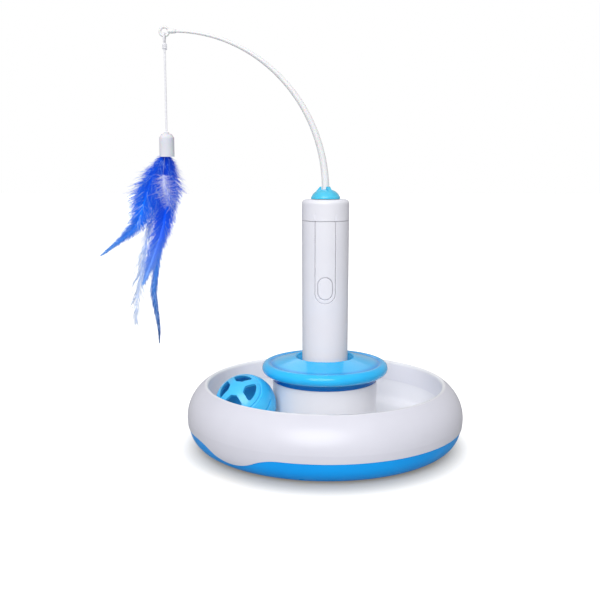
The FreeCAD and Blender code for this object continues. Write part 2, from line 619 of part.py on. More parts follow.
def make_switch_panel():
    """The front panel, flush with the tube, with the button's hole in it."""
    body = new_body("switch_panel")
    extrude(body, panel_outline(new_sketch(body), "panel_gap"), "handle_top_radius + 2")
    core = new_sketch(body)
    outline(core, ("0", "panel_foot - 1"), ("panel_radius", "panel_foot - 1"),
            ("panel_radius", "handle_top + 2"), ("0", "handle_top + 2"))
    revolve(body, core, cut=True)
    rind = new_sketch(body)
    foot, top, far = "panel_foot - 1", "handle_top + 2", "handle_top_radius + 9"
    outline(rind, (HANDLE_SIDE % "(%s)" % foot, foot), (far, foot),
            (far, top), (HANDLE_SIDE % "(%s)" % top, top))
    revolve(body, rind, cut=True)
    top_cut = new_sketch(body, "XY_Plane", level="handle_top")
    rectangle(top_cut, "0", "0", "3 * handle_top_radius", "3 * handle_top_radius")
    extrude(body, top_cut, "2", cut=True)
    hole = new_sketch(body)
    oblong(hole, "0", "button_level", "button_width + 2 * button_gap", "button_height + 2 * button_gap")
    hole = extrude(body, hole, "handle_top_radius + 2", cut=True)
    dress_edges(body, hole, "PartDesign::Chamfer", "panel_bevel",
                on_handle_front("0", "panel_foot - 1", "handle_top - 0.01"))


def make_power_button():
    """The button: a stem through the panel with a curved face, and a flange behind the panel."""
    body = new_body("power_button")
    stem = new_sketch(body, level="button_back")
    oblong(stem, "0", "button_level", "button_width", "button_height")
    extrude(body, stem, "button_proud + 8")
    rind = new_sketch(body)
    foot, top, far = "button_level - button_height", "button_level + button_height", "handle_top_radius + 9"
    outline(rind, (HANDLE_SIDE % "(%s)" % foot + " + button_proud", foot), (far, foot), (far, top),
            (HANDLE_SIDE % "(%s)" % top + " + button_proud", top))
    face = revolve(body, rind, cut=True)
    dress_edges(body, face, "PartDesign::Chamfer", "button_bevel",
                on_handle_front("button_proud", "panel_foot", "panel_line_top"))
    flange = new_sketch(body, level="button_back")
    oblong(flange, "0", "button_level", "button_width + 2 * button_flange",
           "button_height + 2 * button_flange")
    extrude(body, flange, "button_plate")


def block(label, x, y, z, width, depth, height):
    """A box centred on x and y, standing at z."""
    return solid("Part::Box", label, Length=width, Width=depth, Height=height,
                 Placement__Base__x="%s - (%s) / 2" % (x, width),
                 Placement__Base__y="%s - (%s) / 2" % (y, depth),
                 Placement__Base__z=z)


def rod(label, x, y, z, radius, height):
    """An upright cylinder standing at z."""
    return solid("Part::Cylinder", label, Radius=radius, Height=height, Placement__Base__x=x,
                 Placement__Base__y=y, Placement__Base__z=z)


def small_screws(label, places, level, length, upward):
    """Pan head screws: the head rests at level, and the shank goes up or down from it."""
    pieces = []
    for x, y in places:
        head, shank = ("%s - small_head_height", "%s") if upward else ("%s", "%s - (" + length + ")")
        pieces.append(rod(label + "_head", x, y, head % level, "small_head_radius", "small_head_height"))
        pieces.append(rod(label + "_shank", x, y, shank % level, "small_screw_radius", length))
    return joined(label, pieces)


def make_switch():
    """The push switch on the board, and the plunger that the button presses."""
    body = new_body("tact_switch")
    case = new_sketch(body, level="board_front")
    rectangle(case, "0", "button_level", "switch_side", "switch_side")
    extrude(body, case, "switch_depth")
    hole = new_sketch(body, level="board_front + switch_depth - 2")
    circle(hole, "0", "button_level", "plunger_radius + plunger_gap")
    extrude(body, hole, "3", cut=True)
    plunger = new_body("switch_plunger")
    tip = new_sketch(plunger, level="button_back - 0.1 - plunger_length")
    circle(tip, "0", "button_level", "plunger_radius")
    extrude(plunger, tip, "plunger_length")


def make_board():
    """The circuit board with its parts, and the charging port at its foot."""
    middle = "-(board_front - board_thick / 2)"
    block("circuit_board", "0", middle, "board_foot", "board_width", "board_thick", "board_top - board_foot")
    parts = [("0", "40", "5", "1", "5"), ("-5.5", "52", "3", "1.4", "6"), ("0", "84", "8", "1.2", "8"),
             ("6.5", "72", "3", "0.9", "1.6"), ("6.5", "76", "3", "0.9", "1.6"),
             ("-6", "98", "4", "1.1", "3"), ("5", "112", "6", "1.8", "6"), ("-4", "116", "3", "0.9", "1.6")]
    joined("board_components", [
        block("component", x, "-(board_front + %s / 2)" % depth, z, width, depth, height)
        for x, z, width, depth, height in parts])
    port = new_body("charge_port")
    centre = "-(board_front + port_height / 2)"
    outer = new_sketch(port, "XY_Plane", level="port_foot")
    oblong(outer, "0", centre, "port_width", "port_height")
    extrude(port, outer, "port_depth")
    inner = new_sketch(port, "XY_Plane", level="port_foot")
    oblong(inner, "0", centre, "port_width - 2 * port_wall", "port_height - 2 * port_wall")
    extrude(port, inner, "port_depth - 2 * port_wall", cut=True)
    tongue = new_sketch(port, "XY_Plane", level="port_foot + 1")
    rectangle(tongue, "0", centre, "port_width - 3", "0.7")
    extrude(port, tongue, "port_depth - 1 - port_wall")


def make_power():
    """The rechargeable cell and its two contact strips."""
    top = "cell_foot + cell_length"
    joined("battery_cell", [
        rod("cell_can", "0", "cell_offset", "cell_foot", "cell_radius", "cell_length"),
        rod("cell_end", "0", "cell_offset", top + " - 1", "cell_button_radius", "cell_button_height + 1")])
    depth, middle = "board_front - board_thick - 0.1 + 8", "(8 - board_front + board_thick + 0.1) / 2"
    joined("cell_tabs", [
        block("tab", "0", middle, "cell_foot - tab_thick - 0.05", "tab_width", depth, "tab_thick"),
        block("tab", "0", middle, top + " + cell_button_height + 0.05", "tab_width", depth, "tab_thick")])


def make_chassis():
    """The half-round chassis with three bulkheads and two screw bosses at its foot."""
    body = new_body("inner_chassis")
    inner = "chassis_radius - chassis_wall"
    outline(new_sketch(body, "YZ_Plane"), (inner, "chassis_foot"), ("chassis_radius", "chassis_foot"),
            ("chassis_radius", "chassis_top"), (inner, "chassis_top"))
    revolve(body, body.Group[-1], sweep="180")
    rim = "(chassis_radius - chassis_wall / 2)"
    wide = "sqrt(%s^2 - bulkhead_front^2)" % rim
    for level in ("cell_foot - cell_seat - bulkhead",
                  "cell_foot + cell_length + cell_button_height + cell_seat",
                  "chassis_top - motor_length - bulkhead"):
        shelf = new_sketch(body, "XY_Plane", level=level)
        outline(shelf, (wide, "-bulkhead_front", rim, 1), ("0", rim, rim, 1), ("-" + wide, "-bulkhead_front"))
        extrude(body, shelf, "bulkhead")
    for side in ("", "-"):
        boss = new_sketch(body, "XY_Plane", level="chassis_foot")
        circle(boss, side + "cap_screw_offset", "cap_screw_depth", "small_head_radius + 0.6")
        extrude(body, boss, "cap_screw_length")
        hole = new_sketch(body, "XY_Plane", level="chassis_foot")
        circle(hole, side + "cap_screw_offset", "cap_screw_depth", "small_screw_radius + thread_gap")
        extrude(body, hole, "cap_screw_length - 2", cut=True)


def make_end_cap():
    """The cap in the handle's foot, with the charging slot and two screw holes."""
    body = new_body("handle_end_cap")
    plug = "handle_bore - fit_gap + 0.05"
    floor = "handle_foot + end_cap_floor"
    outline(new_sketch(body), ("0", "handle_foot"), ("handle_foot_radius", "handle_foot"),
            (HANDLE_SIDE % "(%s)" % floor, floor), (plug, floor), (plug, floor + " + end_cap_plug"),
            (plug + " - end_cap_plug_wall", floor + " + end_cap_plug"),
            (plug + " - end_cap_plug_wall", floor), ("0", floor))
    revolve(body, body.Group[-1])
    slot = new_sketch(body, "XY_Plane", level="handle_foot")
    oblong(slot, "0", "-(board_front + port_height / 2)", "port_width + 0.6", "port_height + 0.6")
    extrude(body, slot, "end_cap_floor + 1", cut=True)
    for side in ("", "-"):
        for radius, depth in (("small_head_radius + 0.2", "small_head_height + 0.2"),
                              ("small_screw_radius + 0.2", "end_cap_floor + 1")):
            hole = new_sketch(body, "XY_Plane", level="handle_foot")
            circle(hole, side + "cap_screw_offset", "cap_screw_depth", radius)
            extrude(body, hole, depth, cut=True)
    small_screws("end_cap_screws",
                 [("cap_screw_offset", "cap_screw_depth"), ("-cap_screw_offset", "cap_screw_depth")],
                 "handle_foot + small_head_height + 0.15", "cap_screw_length", True)


def make_motor():
    """The motor can with two flats, its shaft and its screws."""
    body = new_body("motor_can")
    foot = "(plate_level - 0.1 - motor_length)"
    wide = "sqrt(motor_radius^2 - motor_flat^2)"
    outline(new_sketch(body, "XY_Plane", level=foot),
            (wide, "motor_flat"), ("-" + wide, "motor_flat", "motor_radius", 1),
            ("-" + wide, "-motor_flat"), (wide, "-motor_flat", "motor_radius", 1))
    extrude(body, body.Group[-1], "motor_length")
    nose = new_sketch(body, "XY_Plane", level="plate_level - 0.1")
    circle(nose, "0", "0", "motor_boss_radius")
    extrude(body, nose, "motor_boss_height")
    bore = new_sketch(body, "XY_Plane", level="plate_level - 6")
    circle(bore, "0", "0", "motor_shaft_radius + bore_gap")
    extrude(body, bore, "6 + motor_boss_height", cut=True)
    for side in ("", "-"):
        hole = new_sketch(body, "XY_Plane", level="plate_level - 4")
        circle(hole, side + "motor_screw_offset", "0", "small_screw_radius + thread_gap")
        extrude(body, hole, "5", cut=True)
    small_screws("motor_screws", [("motor_screw_offset", "0"), ("-motor_screw_offset", "0")],
                 "plate_level + plate_thick + thread_gap", "motor_screw_length", False)
    rod("motor_shaft", "0", "0", "plate_level - 5.5", "motor_shaft_radius",
        "gear_level + wheel_face + 5.6 - plate_level")


POSTS = [("%spost_circle * cos(post_angle)" % side, "%spost_circle * sin(post_angle)" % depth)
         for side in ("", "-") for depth in ("", "-")]


def make_gearbox():
    """The two plates, the posts between them, the spindle, and the screws on top."""
    for label, level, radius, holes in (
            ("gearbox_lower_plate", "plate_level", "lower_plate_radius",
             [("0", "0", "motor_boss_radius + bore_gap"),
              ("motor_screw_offset", "0", "small_screw_radius + 0.1"),
              ("-motor_screw_offset", "0", "small_screw_radius + 0.1")]
             + [(x, y, "post_spigot + bore_gap") for x, y in POSTS]),
            ("gearbox_upper_plate", "upper_plate_level", "upper_plate_radius",
             [("0", "0", "shaft_radius + bore_gap")]
             + [(x, y, "small_screw_radius + 0.1") for x, y in POSTS])):
        body = new_body(label)
        disc = new_sketch(body, "XY_Plane", level=level)
        circle(disc, "0", "0", radius)
        extrude(body, disc, "plate_thick")
        for x, y, hole_radius in holes + [("0", "axis_distance", "spindle_radius + bore_gap")]:
            hole = new_sketch(body, "XY_Plane", level=level)
            circle(hole, x, y, hole_radius)
            extrude(body, hole, "plate_thick + 1", cut=True)
    posts = new_body("gearbox_posts")
    for x, y in POSTS:
        for level, radius, height in (
                ("plate_level + plate_thick", "post_radius", "upper_plate_level - plate_level - plate_thick"),
                ("plate_level + 0.4", "post_spigot", "plate_thick")):
            sketch = new_sketch(posts, "XY_Plane", level=level)
            circle(sketch, x, y, radius)
            extrude(posts, sketch, height)
        hole = new_sketch(posts, "XY_Plane",
                          level="upper_plate_level + plate_thick - post_screw_length - 0.3")
        circle(hole, x, y, "small_screw_radius + thread_gap")
        extrude(posts, hole, "post_screw_length", cut=True)
    small_screws("gearbox_screws", POSTS, "upper_plate_level + plate_thick + thread_gap",
                 "post_screw_length", False)
    rod("gear_spindle", "0", "axis_distance", "plate_level + 0.2", "spindle_radius",
        "upper_plate_level + plate_thick - plate_level - 0.4")


def toothed(body, level, height, teeth, gap_turn):
    """A disc with straight-sided teeth; one tooth gap points in the direction gap_turn."""
    pitch = "(gear_module * %s / 2)" % teeth
    disc = new_sketch(body, "XY_Plane", level=level)
    circle(disc, "0", "0", pitch + " + addendum")
    extrude(body, disc, height)
    root, tip = "(%s - dedendum)" % pitch, "(%s + addendum + 0.3)" % pitch
    root_angle = "(180 deg / %s - asin((tooth_half + dedendum * flank) / %s))" % (teeth, root)
    tip_angle = "(180 deg / %s - asin((tooth_half - (addendum + 0.3) * flank) / %s))" % (teeth, tip)
    gap = new_sketch(body, "XY_Plane", level=level)
    place = "%s * %s(%d deg %s %s)"
    outline(gap, *[[place % (reach, axis, gap_turn, sign, angle) for axis in ("cos", "sin")]
                   for reach, sign, angle in ((root, "-", root_angle), (tip, "-", tip_angle),
                                              (tip, "+", tip_angle), (root, "+", root_angle))])
    gap = extrude(body, gap, height, cut=True)
    round_the_axis(body, [gap], teeth)


def make_gear(label, stage, mate_turn, bore, away=False, wheel=True, pinion=True):
    """A wheel with a smaller gear on top of it, for one stage of the train."""
    body = new_body(label)
    level = "gear_level + %d * gear_step" % stage
    if wheel:
        toothed(body, level, "wheel_face", "wheel_teeth", mate_turn)
    if pinion:
        start, height = (level + " + wheel_face", "gear_step + 0.1") if wheel else (level, "wheel_face + 0.1")
        toothed(body, start, height, "pinion_teeth", mate_turn + 18)
    hole = new_sketch(body, "XY_Plane", level=level)
    circle(hole, "0", "0", bore)
    extrude(body, hole, "3 * gear_step", cut=True)
    if away:
        bind(body, Placement__Base__y="axis_distance")


def make_handle_cap():
    """The cap on top of the handle, with a spigot into the tube and a rib down to the upper plate."""
    body = new_body("handle_cap")
    radius, spigot = "(handle_top_radius + 0.05)", "(handle_bore - 0.25)"
    inner, hole = "(%s - cap_wall)" % radius, "(shaft_radius + bore_gap + bush_wall + bore_gap)"
    step, ceiling = "cap_foot + 3.2", "cap_top - cap_roof"
    rib_foot = "upper_plate_level + plate_thick + 0.2"
    outline(new_sketch(body), (spigot + " - cap_spigot_wall", "handle_top - cap_spigot"),
            (spigot, "handle_top - cap_spigot"), (spigot, "cap_foot"), (radius, "cap_foot"),
            (radius, "cap_top - cap_round", "cap_round", 1), (radius + " - cap_round", "cap_top"),
            (hole, "cap_top"), (hole, ceiling), ("9.5", ceiling), ("9.5", rib_foot), ("11", rib_foot),
            ("11", ceiling), (inner, ceiling), (inner, step), (spigot + " - cap_spigot_wall", step))
    revolve(body, body.Group[-1])
    depth = "sqrt(%s^2 - (panel_width / 2)^2) - panel_line_depth" % radius
    for side in ("", "-"):
        line = new_sketch(body, level=depth)
        rectangle(line, side + "panel_width / 2", "(cap_foot - 1 + panel_line_top) / 2", "panel_line",
                  "panel_line_top - cap_foot + 1")
        extrude(body, line, "3", cut=True)
    bush = new_body("output_bushing")
    bore, outside = "shaft_radius + bore_gap", "shaft_radius + bore_gap + bush_wall"
    flange, seat = ceiling + " - bush_flange - 0.05", ceiling + " - 0.05"
    outline(new_sketch(bush), (bore, flange), (outside + " + 1.4", flange), (outside + " + 1.4", seat),
            (outside, seat), (outside, "cap_top"), (bore, "cap_top"))
    revolve(bush, bush.Group[-1])


# Rotor, wand and lure

def make_rotor():
    """The output shaft and the domed rotor with three prongs round the wand's foot."""
    joined("output_shaft", [
        rod("journal", "0", "0", "gear_level + gear_step + 0.05", "journal_radius", "2 * gear_step + 1"),
        rod("shank", "0", "0", "gear_level + 3 * gear_step", "shaft_radius",
            "shaft_top - gear_level - 3 * gear_step")])
    body = new_body("rotor_dome")
    lip = "dome_top - dome_curve + sqrt(dome_curve^2 - (socket_radius - dome_middle)^2)"
    outline(new_sketch(body), ("shaft_radius + 0.02", "dome_foot"), ("dome_radius", "dome_foot"),
            ("dome_radius", "dome_foot + dome_edge", "dome_curve", 1), ("socket_radius", lip),
            ("socket_radius", "wand_foot - 0.1"), ("shaft_radius + 0.02", "wand_foot - 0.1"))
    revolve(body, body.Group[-1])
    prong = new_sketch(body, turn="prong_turn")
    near, top = "wand_foot_radius + wand_clearance", "dome_foot + prong_top"
    outline(prong, (near, "wand_foot + 1"), (near, top), (near + " + 1.3", top + " - 0.2"),
            ("prong_reach", "dome_foot + 4.6"), ("prong_reach", "dome_foot + 2"), ("5", "dome_foot + 2"))
    prong = extrude(body, prong, "prong_width", both=True)
    round_the_axis(body, [prong], "prong_count")


def wand_path(steps=400):
    """Points and directions along the wand's bent axis, in the XZ plane."""
    length, bend, gain = worth("wand_length"), worth("wand_bend"), worth("wand_bend_gain")
    x, z, path = 0.0, worth("wand_foot") + 1.5, []
    for step in range(steps + 1):
        share = step / steps
        angle = math.radians(bend * share + gain * share ** 2)
        path.append((x, z, angle))
        middle = (step + 0.5) / steps
        angle = math.radians(bend * middle + gain * middle ** 2)
        x -= math.sin(angle) * length / steps
        z += math.cos(angle) * length / steps
    return path


def make_wand():
    """The tapered bent wand, and the ring on its tip."""
    path = wand_path()
    count = int(worth("wand_sections"))
    sections = []
    for number in range(-1, count + 1):
        share = max(number, 0) / count
        x, z, angle = path[round(share * (len(path) - 1))]
        section = solid("Part::Circle", "wand_section",
                        Radius="wand_foot_radius + (wand_tip_radius - wand_foot_radius) * %r" % share)
        section.Placement = Placement(Vector(x, 0, z if number >= 0 else worth("wand_foot")),
                                      Rotation(Vector(0, 1, 0), -math.degrees(angle)))
        sections.append(section)
    loft = doc.addObject("Part::Loft", "wand_rod")
    loft.Label = "wand_rod"
    loft.Sections = sections
    loft.Solid = True
    x, z, angle = path[-1]
    along = Vector(-math.sin(angle), 0, math.cos(angle))
    turn = Rotation(Vector(0, 1, 0), -math.degrees(angle))
    end = Vector(x, 0, z)
    bore = "wand_tip_radius + 0.1"
    sleeve = solid("Part::Cylinder", "ferrule", Radius=bore + " + ferrule_wall", Height="ferrule_length")
    sleeve.Placement = Placement(end - along * 4.5, turn)
    hollow = solid("Part::Cylinder", "ferrule_bore", Radius=bore, Height="ferrule_length - 0.9")
    hollow.Placement = Placement(end - along * 5, turn)
    centre = end + along * (1.2 + worth("ring_radius"))
    wire = solid("Part::Torus", "ring", Radius1="ring_radius", Radius2="ring_wire")
    wire.Placement = Placement(centre, Rotation(Vector(1, 0, 0), 90))
    joined("tip_ring", [less("ferrule_sleeve", sleeve, hollow), wire])
    size(ring_x=round(centre.x, 3), ring_z=round(centre.z, 3))
    size(loop_level="=ring_z - ring_radius", loop_radius="=ring_wire + string_gap + string_radius")
    size(knot_level="=loop_level - knot_drop", strand="=string_radius + 0.05")
    size(strand_shift="=loop_radius - strand")
    size(strand_rise="=sqrt(string_bend^2 - (string_bend - strand_shift / 2)^2)")
    doc.recompute()


def make_lure_string():
    """The string: a loop over the ring's wire, a knot, and one straight run down to the lure."""
    body = new_body("lure_string")
    outline(new_sketch(body, "YZ_Plane"), ("0", "lure_top + lure_gap"),
            ("string_radius", "lure_top + lure_gap"),
            ("string_radius", "knot_level - sqrt(knot_radius^2 - string_radius^2)", "knot_radius", 1),
            ("0", "knot_level + knot_radius"))
    revolve(body, body.Group[-1])
    path = new_sketch(body, "YZ_Plane")
    low, middle = "loop_level - 2 * strand_rise", "loop_level - strand_rise"
    half = "strand + strand_shift / 2"
    outline(path, ("strand", "knot_level"), ("strand", low, "string_bend", -1),
            (half, middle, "string_bend", 1), ("loop_radius", "loop_level", "loop_radius", 1),
            ("0", "loop_level + loop_radius", "loop_radius", 1),
            ("-loop_radius", "loop_level", "string_bend", 1), ("-(%s)" % half, middle, "string_bend", -1),
            ("-strand", low), ("-strand", "knot_level"), closed=False)
    profile = new_sketch(body, "XY_Plane", level="knot_level")
    circle(profile, "0", "strand", "string_radius")
    pipe = body.newObject("PartDesign::AdditivePipe", "string_loop")
    pipe.Profile = profile
    pipe.Spine = path
    settled(body, pipe, False)
    bind(body, Placement__Base__x="ring_x")
    radii = worth("loop_radius"), worth("string_bend")
    print("lure_string bend radii in mm: loop %.2f, bends %.2f" % radii)


def make_lure_cap():
    """The cap that holds the feathers: a small neck, a rounded shoulder and an open bore."""
    body = new_body("lure_cap")
    foot = "lure_top - lure_length"
    outline(new_sketch(body), ("0", "lure_top"), ("lure_neck", "lure_top"), ("lure_neck", "lure_top - 1.2"),
            ("lure_shoulder", "lure_top - 1.7"), ("lure_radius", "lure_top - 4.6"), ("lure_radius", foot),
            ("lure_bore", foot), ("lure_bore", foot + " + lure_bore_depth"),
            ("0", foot + " + lure_bore_depth"))
    revolve(body, body.Group[-1])
    bind(body, Placement__Base__x="ring_x")


FEATHERS = {
    "feather_left": (-1.5, [(-138.4, 259.5), (-139.2, 248.2), (-145.9, 246.9), (-159.5, 230.4),
                            (-166.5, 218.6), (-163.7, 209), (-170.2, 197), (-173.5, 187.4), (-195, 163.1),
                            (-173.1, 180.2), (-160.9, 183.8), (-154.4, 198.3), (-142.9, 222.1),
                            (-136, 247), (-136, 259.5)]),
    "feather_centre": (0, [(-136.2, 259.5), (-139, 246), (-143.2, 209.1), (-147.4, 187.5), (-152.7, 170.5),
                           (-159.4, 151), (-158.5, 138.8), (-153.4, 146.2), (-143.3, 160.9), (-138.1, 174.2),
                           (-135.4, 185.1), (-129.7, 193.5), (-127.6, 209.1), (-126.6, 228.1), (-129.7, 246),
                           (-133, 259.5)]),
    "feather_long": (1.5, [(-136.2, 259.5), (-137.4, 246), (-141, 200), (-148.2, 158.4), (-152.4, 140),
                           (-151.5, 126.5), (-145.6, 86.5), (-144.8, 90), (-144.2, 126.5), (-143, 150),
                           (-138.6, 200), (-134.6, 246), (-133, 259.5)]),
    "feather_pale": (3, [(-136.2, 259.5), (-138.5, 246), (-152.1, 194.7), (-159.5, 168.1), (-164.5, 143.7),
                         (-167.1, 119), (-164.4, 104.1), (-160.7, 125.2), (-155.9, 146.2), (-148.5, 192.3),
                         (-135, 246), (-133, 259.5)]),
    "down_tuft": (-3, [(-136.2, 259.5), (-137.5, 246), (-141.6, 225.7), (-144.2, 218.6), (-139.7, 205.5),
                       (-129.3, 187.5), (-122.9, 201.9), (-118, 209.1), (-120.2, 216.2), (-127.1, 230.4),
                       (-131, 246), (-133, 259.5)]),
}


def make_feather(label, depth, corners):
    body = new_body(label)
    flat = new_sketch(body, level="%s * feather_pitch" % (-depth / 1.5))
    outline(flat, *[(repr(x), repr(z)) for x, z in corners])
    extrude(body, flat, "feather_thick", both=True)


make_bottom_shell()
make_ring_housing()
make_track_tray()
make_hub_sleeve()
make_track_disc()
make_socket_cup()
make_anti_slip_ring()
screw_set("shell_screws", "well_floor - screw_head_height - thread_gap", "shell_screw_circle",
          "shell_screw_count", "screw_turn")
screw_set("hub_screws", "underside - thread_gap", "hub_screw_circle", "hub_screw_count")
make_ball_half("ball_upper_half", False)
make_ball_half("ball_lower_half", True)
make_handle_tube()
make_switch_panel()
make_power_button()
make_switch()
make_board()
make_power()
make_chassis()
make_end_cap()
make_motor()
make_gearbox()
make_gear("motor_pinion", 0, 90, "motor_shaft_radius + 0.02", wheel=False)
make_gear("gear_one", 0, 270, "spindle_radius + bore_gap", away=True)
make_gear("gear_two", 1, 90, "journal_radius + bore_gap")
make_gear("gear_three", 2, 270, "spindle_radius + bore_gap", away=True)
make_gear("output_gear", 3, 90, "shaft_radius + 0.02", pinion=False)
make_handle_cap()
make_rotor()
make_wand()
make_lure_string()
make_lure_cap()
for name, (depth, corners) in FEATHERS.items():
    make_feather(name, depth, corners)

NODES = """bottom_shell ring_housing track_tray hub_sleeve track_disc socket_cup anti_slip_ring shell_screws
hub_screws ball_upper_half ball_lower_half handle_tube switch_panel power_button switch_plunger tact_switch
circuit_board board_components charge_port battery_cell cell_tabs inner_chassis handle_end_cap end_cap_screws
motor_can motor_shaft motor_screws gearbox_lower_plate gearbox_upper_plate gearbox_posts gearbox_screws
gear_spindle motor_pinion gear_one gear_two gear_three output_gear handle_cap output_bushing output_shaft
rotor_dome wand_rod tip_ring lure_string lure_cap feather_left feather_centre feather_long feather_pale
down_tuft""".split()

doc.recompute()
for item in doc.Objects:
    if "Invalid" in item.State or "Error" in item.State:
        raise ValueError("%s is in error: %s" % (item.Label, item.State))
os.makedirs("parts", exist_ok=True)
for node in NODES:
    shape = doc.getObjectsByLabel(node)[0].Shape
    if shape.isNull() or not shape.isValid():
        raise ValueError("%s has no valid shape" % node)
    shape.exportStep("parts/%s.step" % node)
print("%d pieces" % len(NODES))
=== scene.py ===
# %% [markdown]
# # Automatic cat toy
# A round base holds a lattice ball in a track. A motor handle stands in the middle and turns a bent
# wand. A feather lure hangs from the wand's tip on a string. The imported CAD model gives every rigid
# piece. This file gives those pieces their finish, and makes what CAD can't: the string and the
# feathers.

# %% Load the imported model
import math

import bpy
import numpy as np
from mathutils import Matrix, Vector


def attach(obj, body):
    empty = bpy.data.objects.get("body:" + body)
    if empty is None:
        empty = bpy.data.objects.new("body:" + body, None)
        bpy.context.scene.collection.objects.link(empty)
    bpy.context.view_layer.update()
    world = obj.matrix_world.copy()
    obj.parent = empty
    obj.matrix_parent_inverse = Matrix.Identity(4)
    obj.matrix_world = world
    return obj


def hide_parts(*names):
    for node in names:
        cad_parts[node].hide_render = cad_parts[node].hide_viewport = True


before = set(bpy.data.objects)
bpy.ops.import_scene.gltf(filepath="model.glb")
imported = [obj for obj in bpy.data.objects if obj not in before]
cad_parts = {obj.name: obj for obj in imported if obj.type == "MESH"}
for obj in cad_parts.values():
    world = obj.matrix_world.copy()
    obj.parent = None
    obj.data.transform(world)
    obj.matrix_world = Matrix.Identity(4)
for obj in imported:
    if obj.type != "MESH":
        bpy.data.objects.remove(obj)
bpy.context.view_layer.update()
MM = 0.001
print("CAD nodes:", len(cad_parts))

# %% [markdown]
# ## Camera
# The view was worked out from the round edges of the base, the disc and the handle, which all share one
# axis. It stands 0.75 m in front, 0.24 m up, and looks 9 degrees down and slightly to the left. A
# camera could also be aimed by a constraint, but plain numbers say at once where it stands and give the
# same view every time.

# %% Camera at the photograph's place
CAMERA_PLACE = (0.0, -749 * MM, 244 * MM)
LOOK_DOWN, LOOK_LEFT = 0.156, 0.029
FOCAL_PIXELS, FRAME_PIXELS, SENSOR = 876.4, 600, 36.0

camera_data = bpy.data.cameras.new("camera")
camera_data.sensor_width = SENSOR
camera_data.lens = FOCAL_PIXELS * SENSOR / FRAME_PIXELS
camera_data.clip_end = 50
camera = bpy.data.objects.new("camera", camera_data)
camera.location = CAMERA_PLACE
camera.rotation_euler = (math.pi / 2 - LOOK_DOWN, 0, LOOK_LEFT)
bpy.context.scene.collection.objects.link(camera)
bpy.context.scene.camera = camera
bpy.context.scene.view_settings.view_transform = "Standard"
print("lens in mm: %.1f" % camera_data.lens)

# %% [markdown]
# ## Colours and nodes
# Colours are written as the hex values that a colour picker shows, so they're turned to linear light
# first. One small function adds a shader node, sets what it is given, and links what is already a
# socket. That keeps each finish short enough to read as a recipe.

# %% Helpers for materials


def linear(hex_colour):
    """The linear colour for an sRGB hex value such as '#2A90E8', with full alpha."""
    parts = [int(hex_colour[start:start + 2], 16) / 255 for start in (1, 3, 5)]
    levels = [part / 12.92 if part <= 0.04045 else ((part + 0.055) / 1.055) ** 2.4 for part in parts]
    return (*levels, 1.0)


def add_node(tree, kind, settings=None, **inputs):
    """Add a node with its own settings. Each input goes by name, or as _0, _1 by its place, and takes
    a number, a colour or another node's socket."""
    made = tree.nodes.new(kind)
    for name, value in (settings or {}).items():
        setattr(made, name, value)
    for name, value in inputs.items():
        socket = made.inputs[int(name[1:])] if name[0] == "_" else made.inputs[name.replace("_", " ")]
        if isinstance(value, bpy.types.NodeSocket):
            tree.links.new(value, socket)
        else:
            socket.default_value = value
    return made


def new_material(name):
    """A material with its shader, ready for nodes."""
    made = bpy.data.materials.new(name)
    made.use_nodes = True
    return made, made.node_tree, made.node_tree.nodes["Principled BSDF"]


def set_shader(shader, **values):
    """Set what is the same all over on the shader's own sockets."""
    for name, value in values.items():
        shader.inputs[name.replace("_", " ")].default_value = value


def colour_ramp(tree, factor, *stops):
    """A ramp from (place, hex colour) stops."""
    ramp = add_node(tree, "ShaderNodeValToRGB", None, Fac=factor)
    while len(ramp.color_ramp.elements) < len(stops):
        ramp.color_ramp.elements.new(0.5)
    for element, (place, colour) in zip(ramp.color_ramp.elements, stops):
        element.position, element.color = place, linear(colour)
    return ramp.outputs["Color"]


def dress(material, *node_names):
    """Give CAD nodes a finish."""
    for name in node_names:
        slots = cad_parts[name].data.materials
        slots.clear()
        slots.append(material)
    print(material.name, "on", ", ".join(node_names))


# %% [markdown]
# ## Moulded ABS
# The shells are injection-moulded ABS. A polished tool leaves a soft gloss with a faint waviness,
# called orange peel, and the colour drifts a little with the wall's thickness. One flat colour would
# look like a drawing, so a slow noise moves the colour and a fine one moves the gloss. Real orange peel
# is about 0.5 mm across, which is less than a pixel here, so it is drawn at 3 mm. The ball, the wand,
# the lure's cap and the gears are of polypropylene or nylon. These are moulded in the same way but let
# a little light into the wall, which the value called glow gives. The thin dome has a little of it too.
#
# Some places have light or shade painted into their colour. The ring's lip gets a painted highlight,
# and its inner wall below the lip is painted paler, as painted light where the lamps reach it less. The
# disc's neck under its bead and the crease inside the bead get painted shade, a deeper blue. The
# handle's foot is painted a little warmer, against the blue light that the disc throws on it. Such a
# place is found by its distance from the toy's axis and by its height.

# %% Moulded plastic
DRIFT_MM = 40.0
PEEL_MM = 3.0


def tint(tree, place, colour, hex_colour, radius, height):
    """Mix in a colour where both tables say 1: by distance from the toy's axis, and by height, in mm."""
    flat = add_node(tree, "ShaderNodeVectorMath", {"operation": "MULTIPLY"}, _0=place, _1=(1, 1, 0))
    distance = add_node(tree, "ShaderNodeVectorMath", {"operation": "LENGTH"}, _0=flat.outputs["Vector"])
    level = add_node(tree, "ShaderNodeSeparateXYZ", None, Vector=place)
    shares = [colour_ramp(tree, measured, *[(mm * MM, "#FFFFFF" if on else "#000000") for mm, on in stops])
              for measured, stops in ((distance.outputs["Value"], radius), (level.outputs["Z"], height))]
    both = add_node(tree, "ShaderNodeMath", {"operation": "MULTIPLY"}, _0=shares[0], _1=shares[1])
    mixed = add_node(tree, "ShaderNodeMix", {"data_type": "RGBA"}, _0=both.outputs[0], _6=colour,
                     _7=linear(hex_colour))
    return mixed.outputs[2]


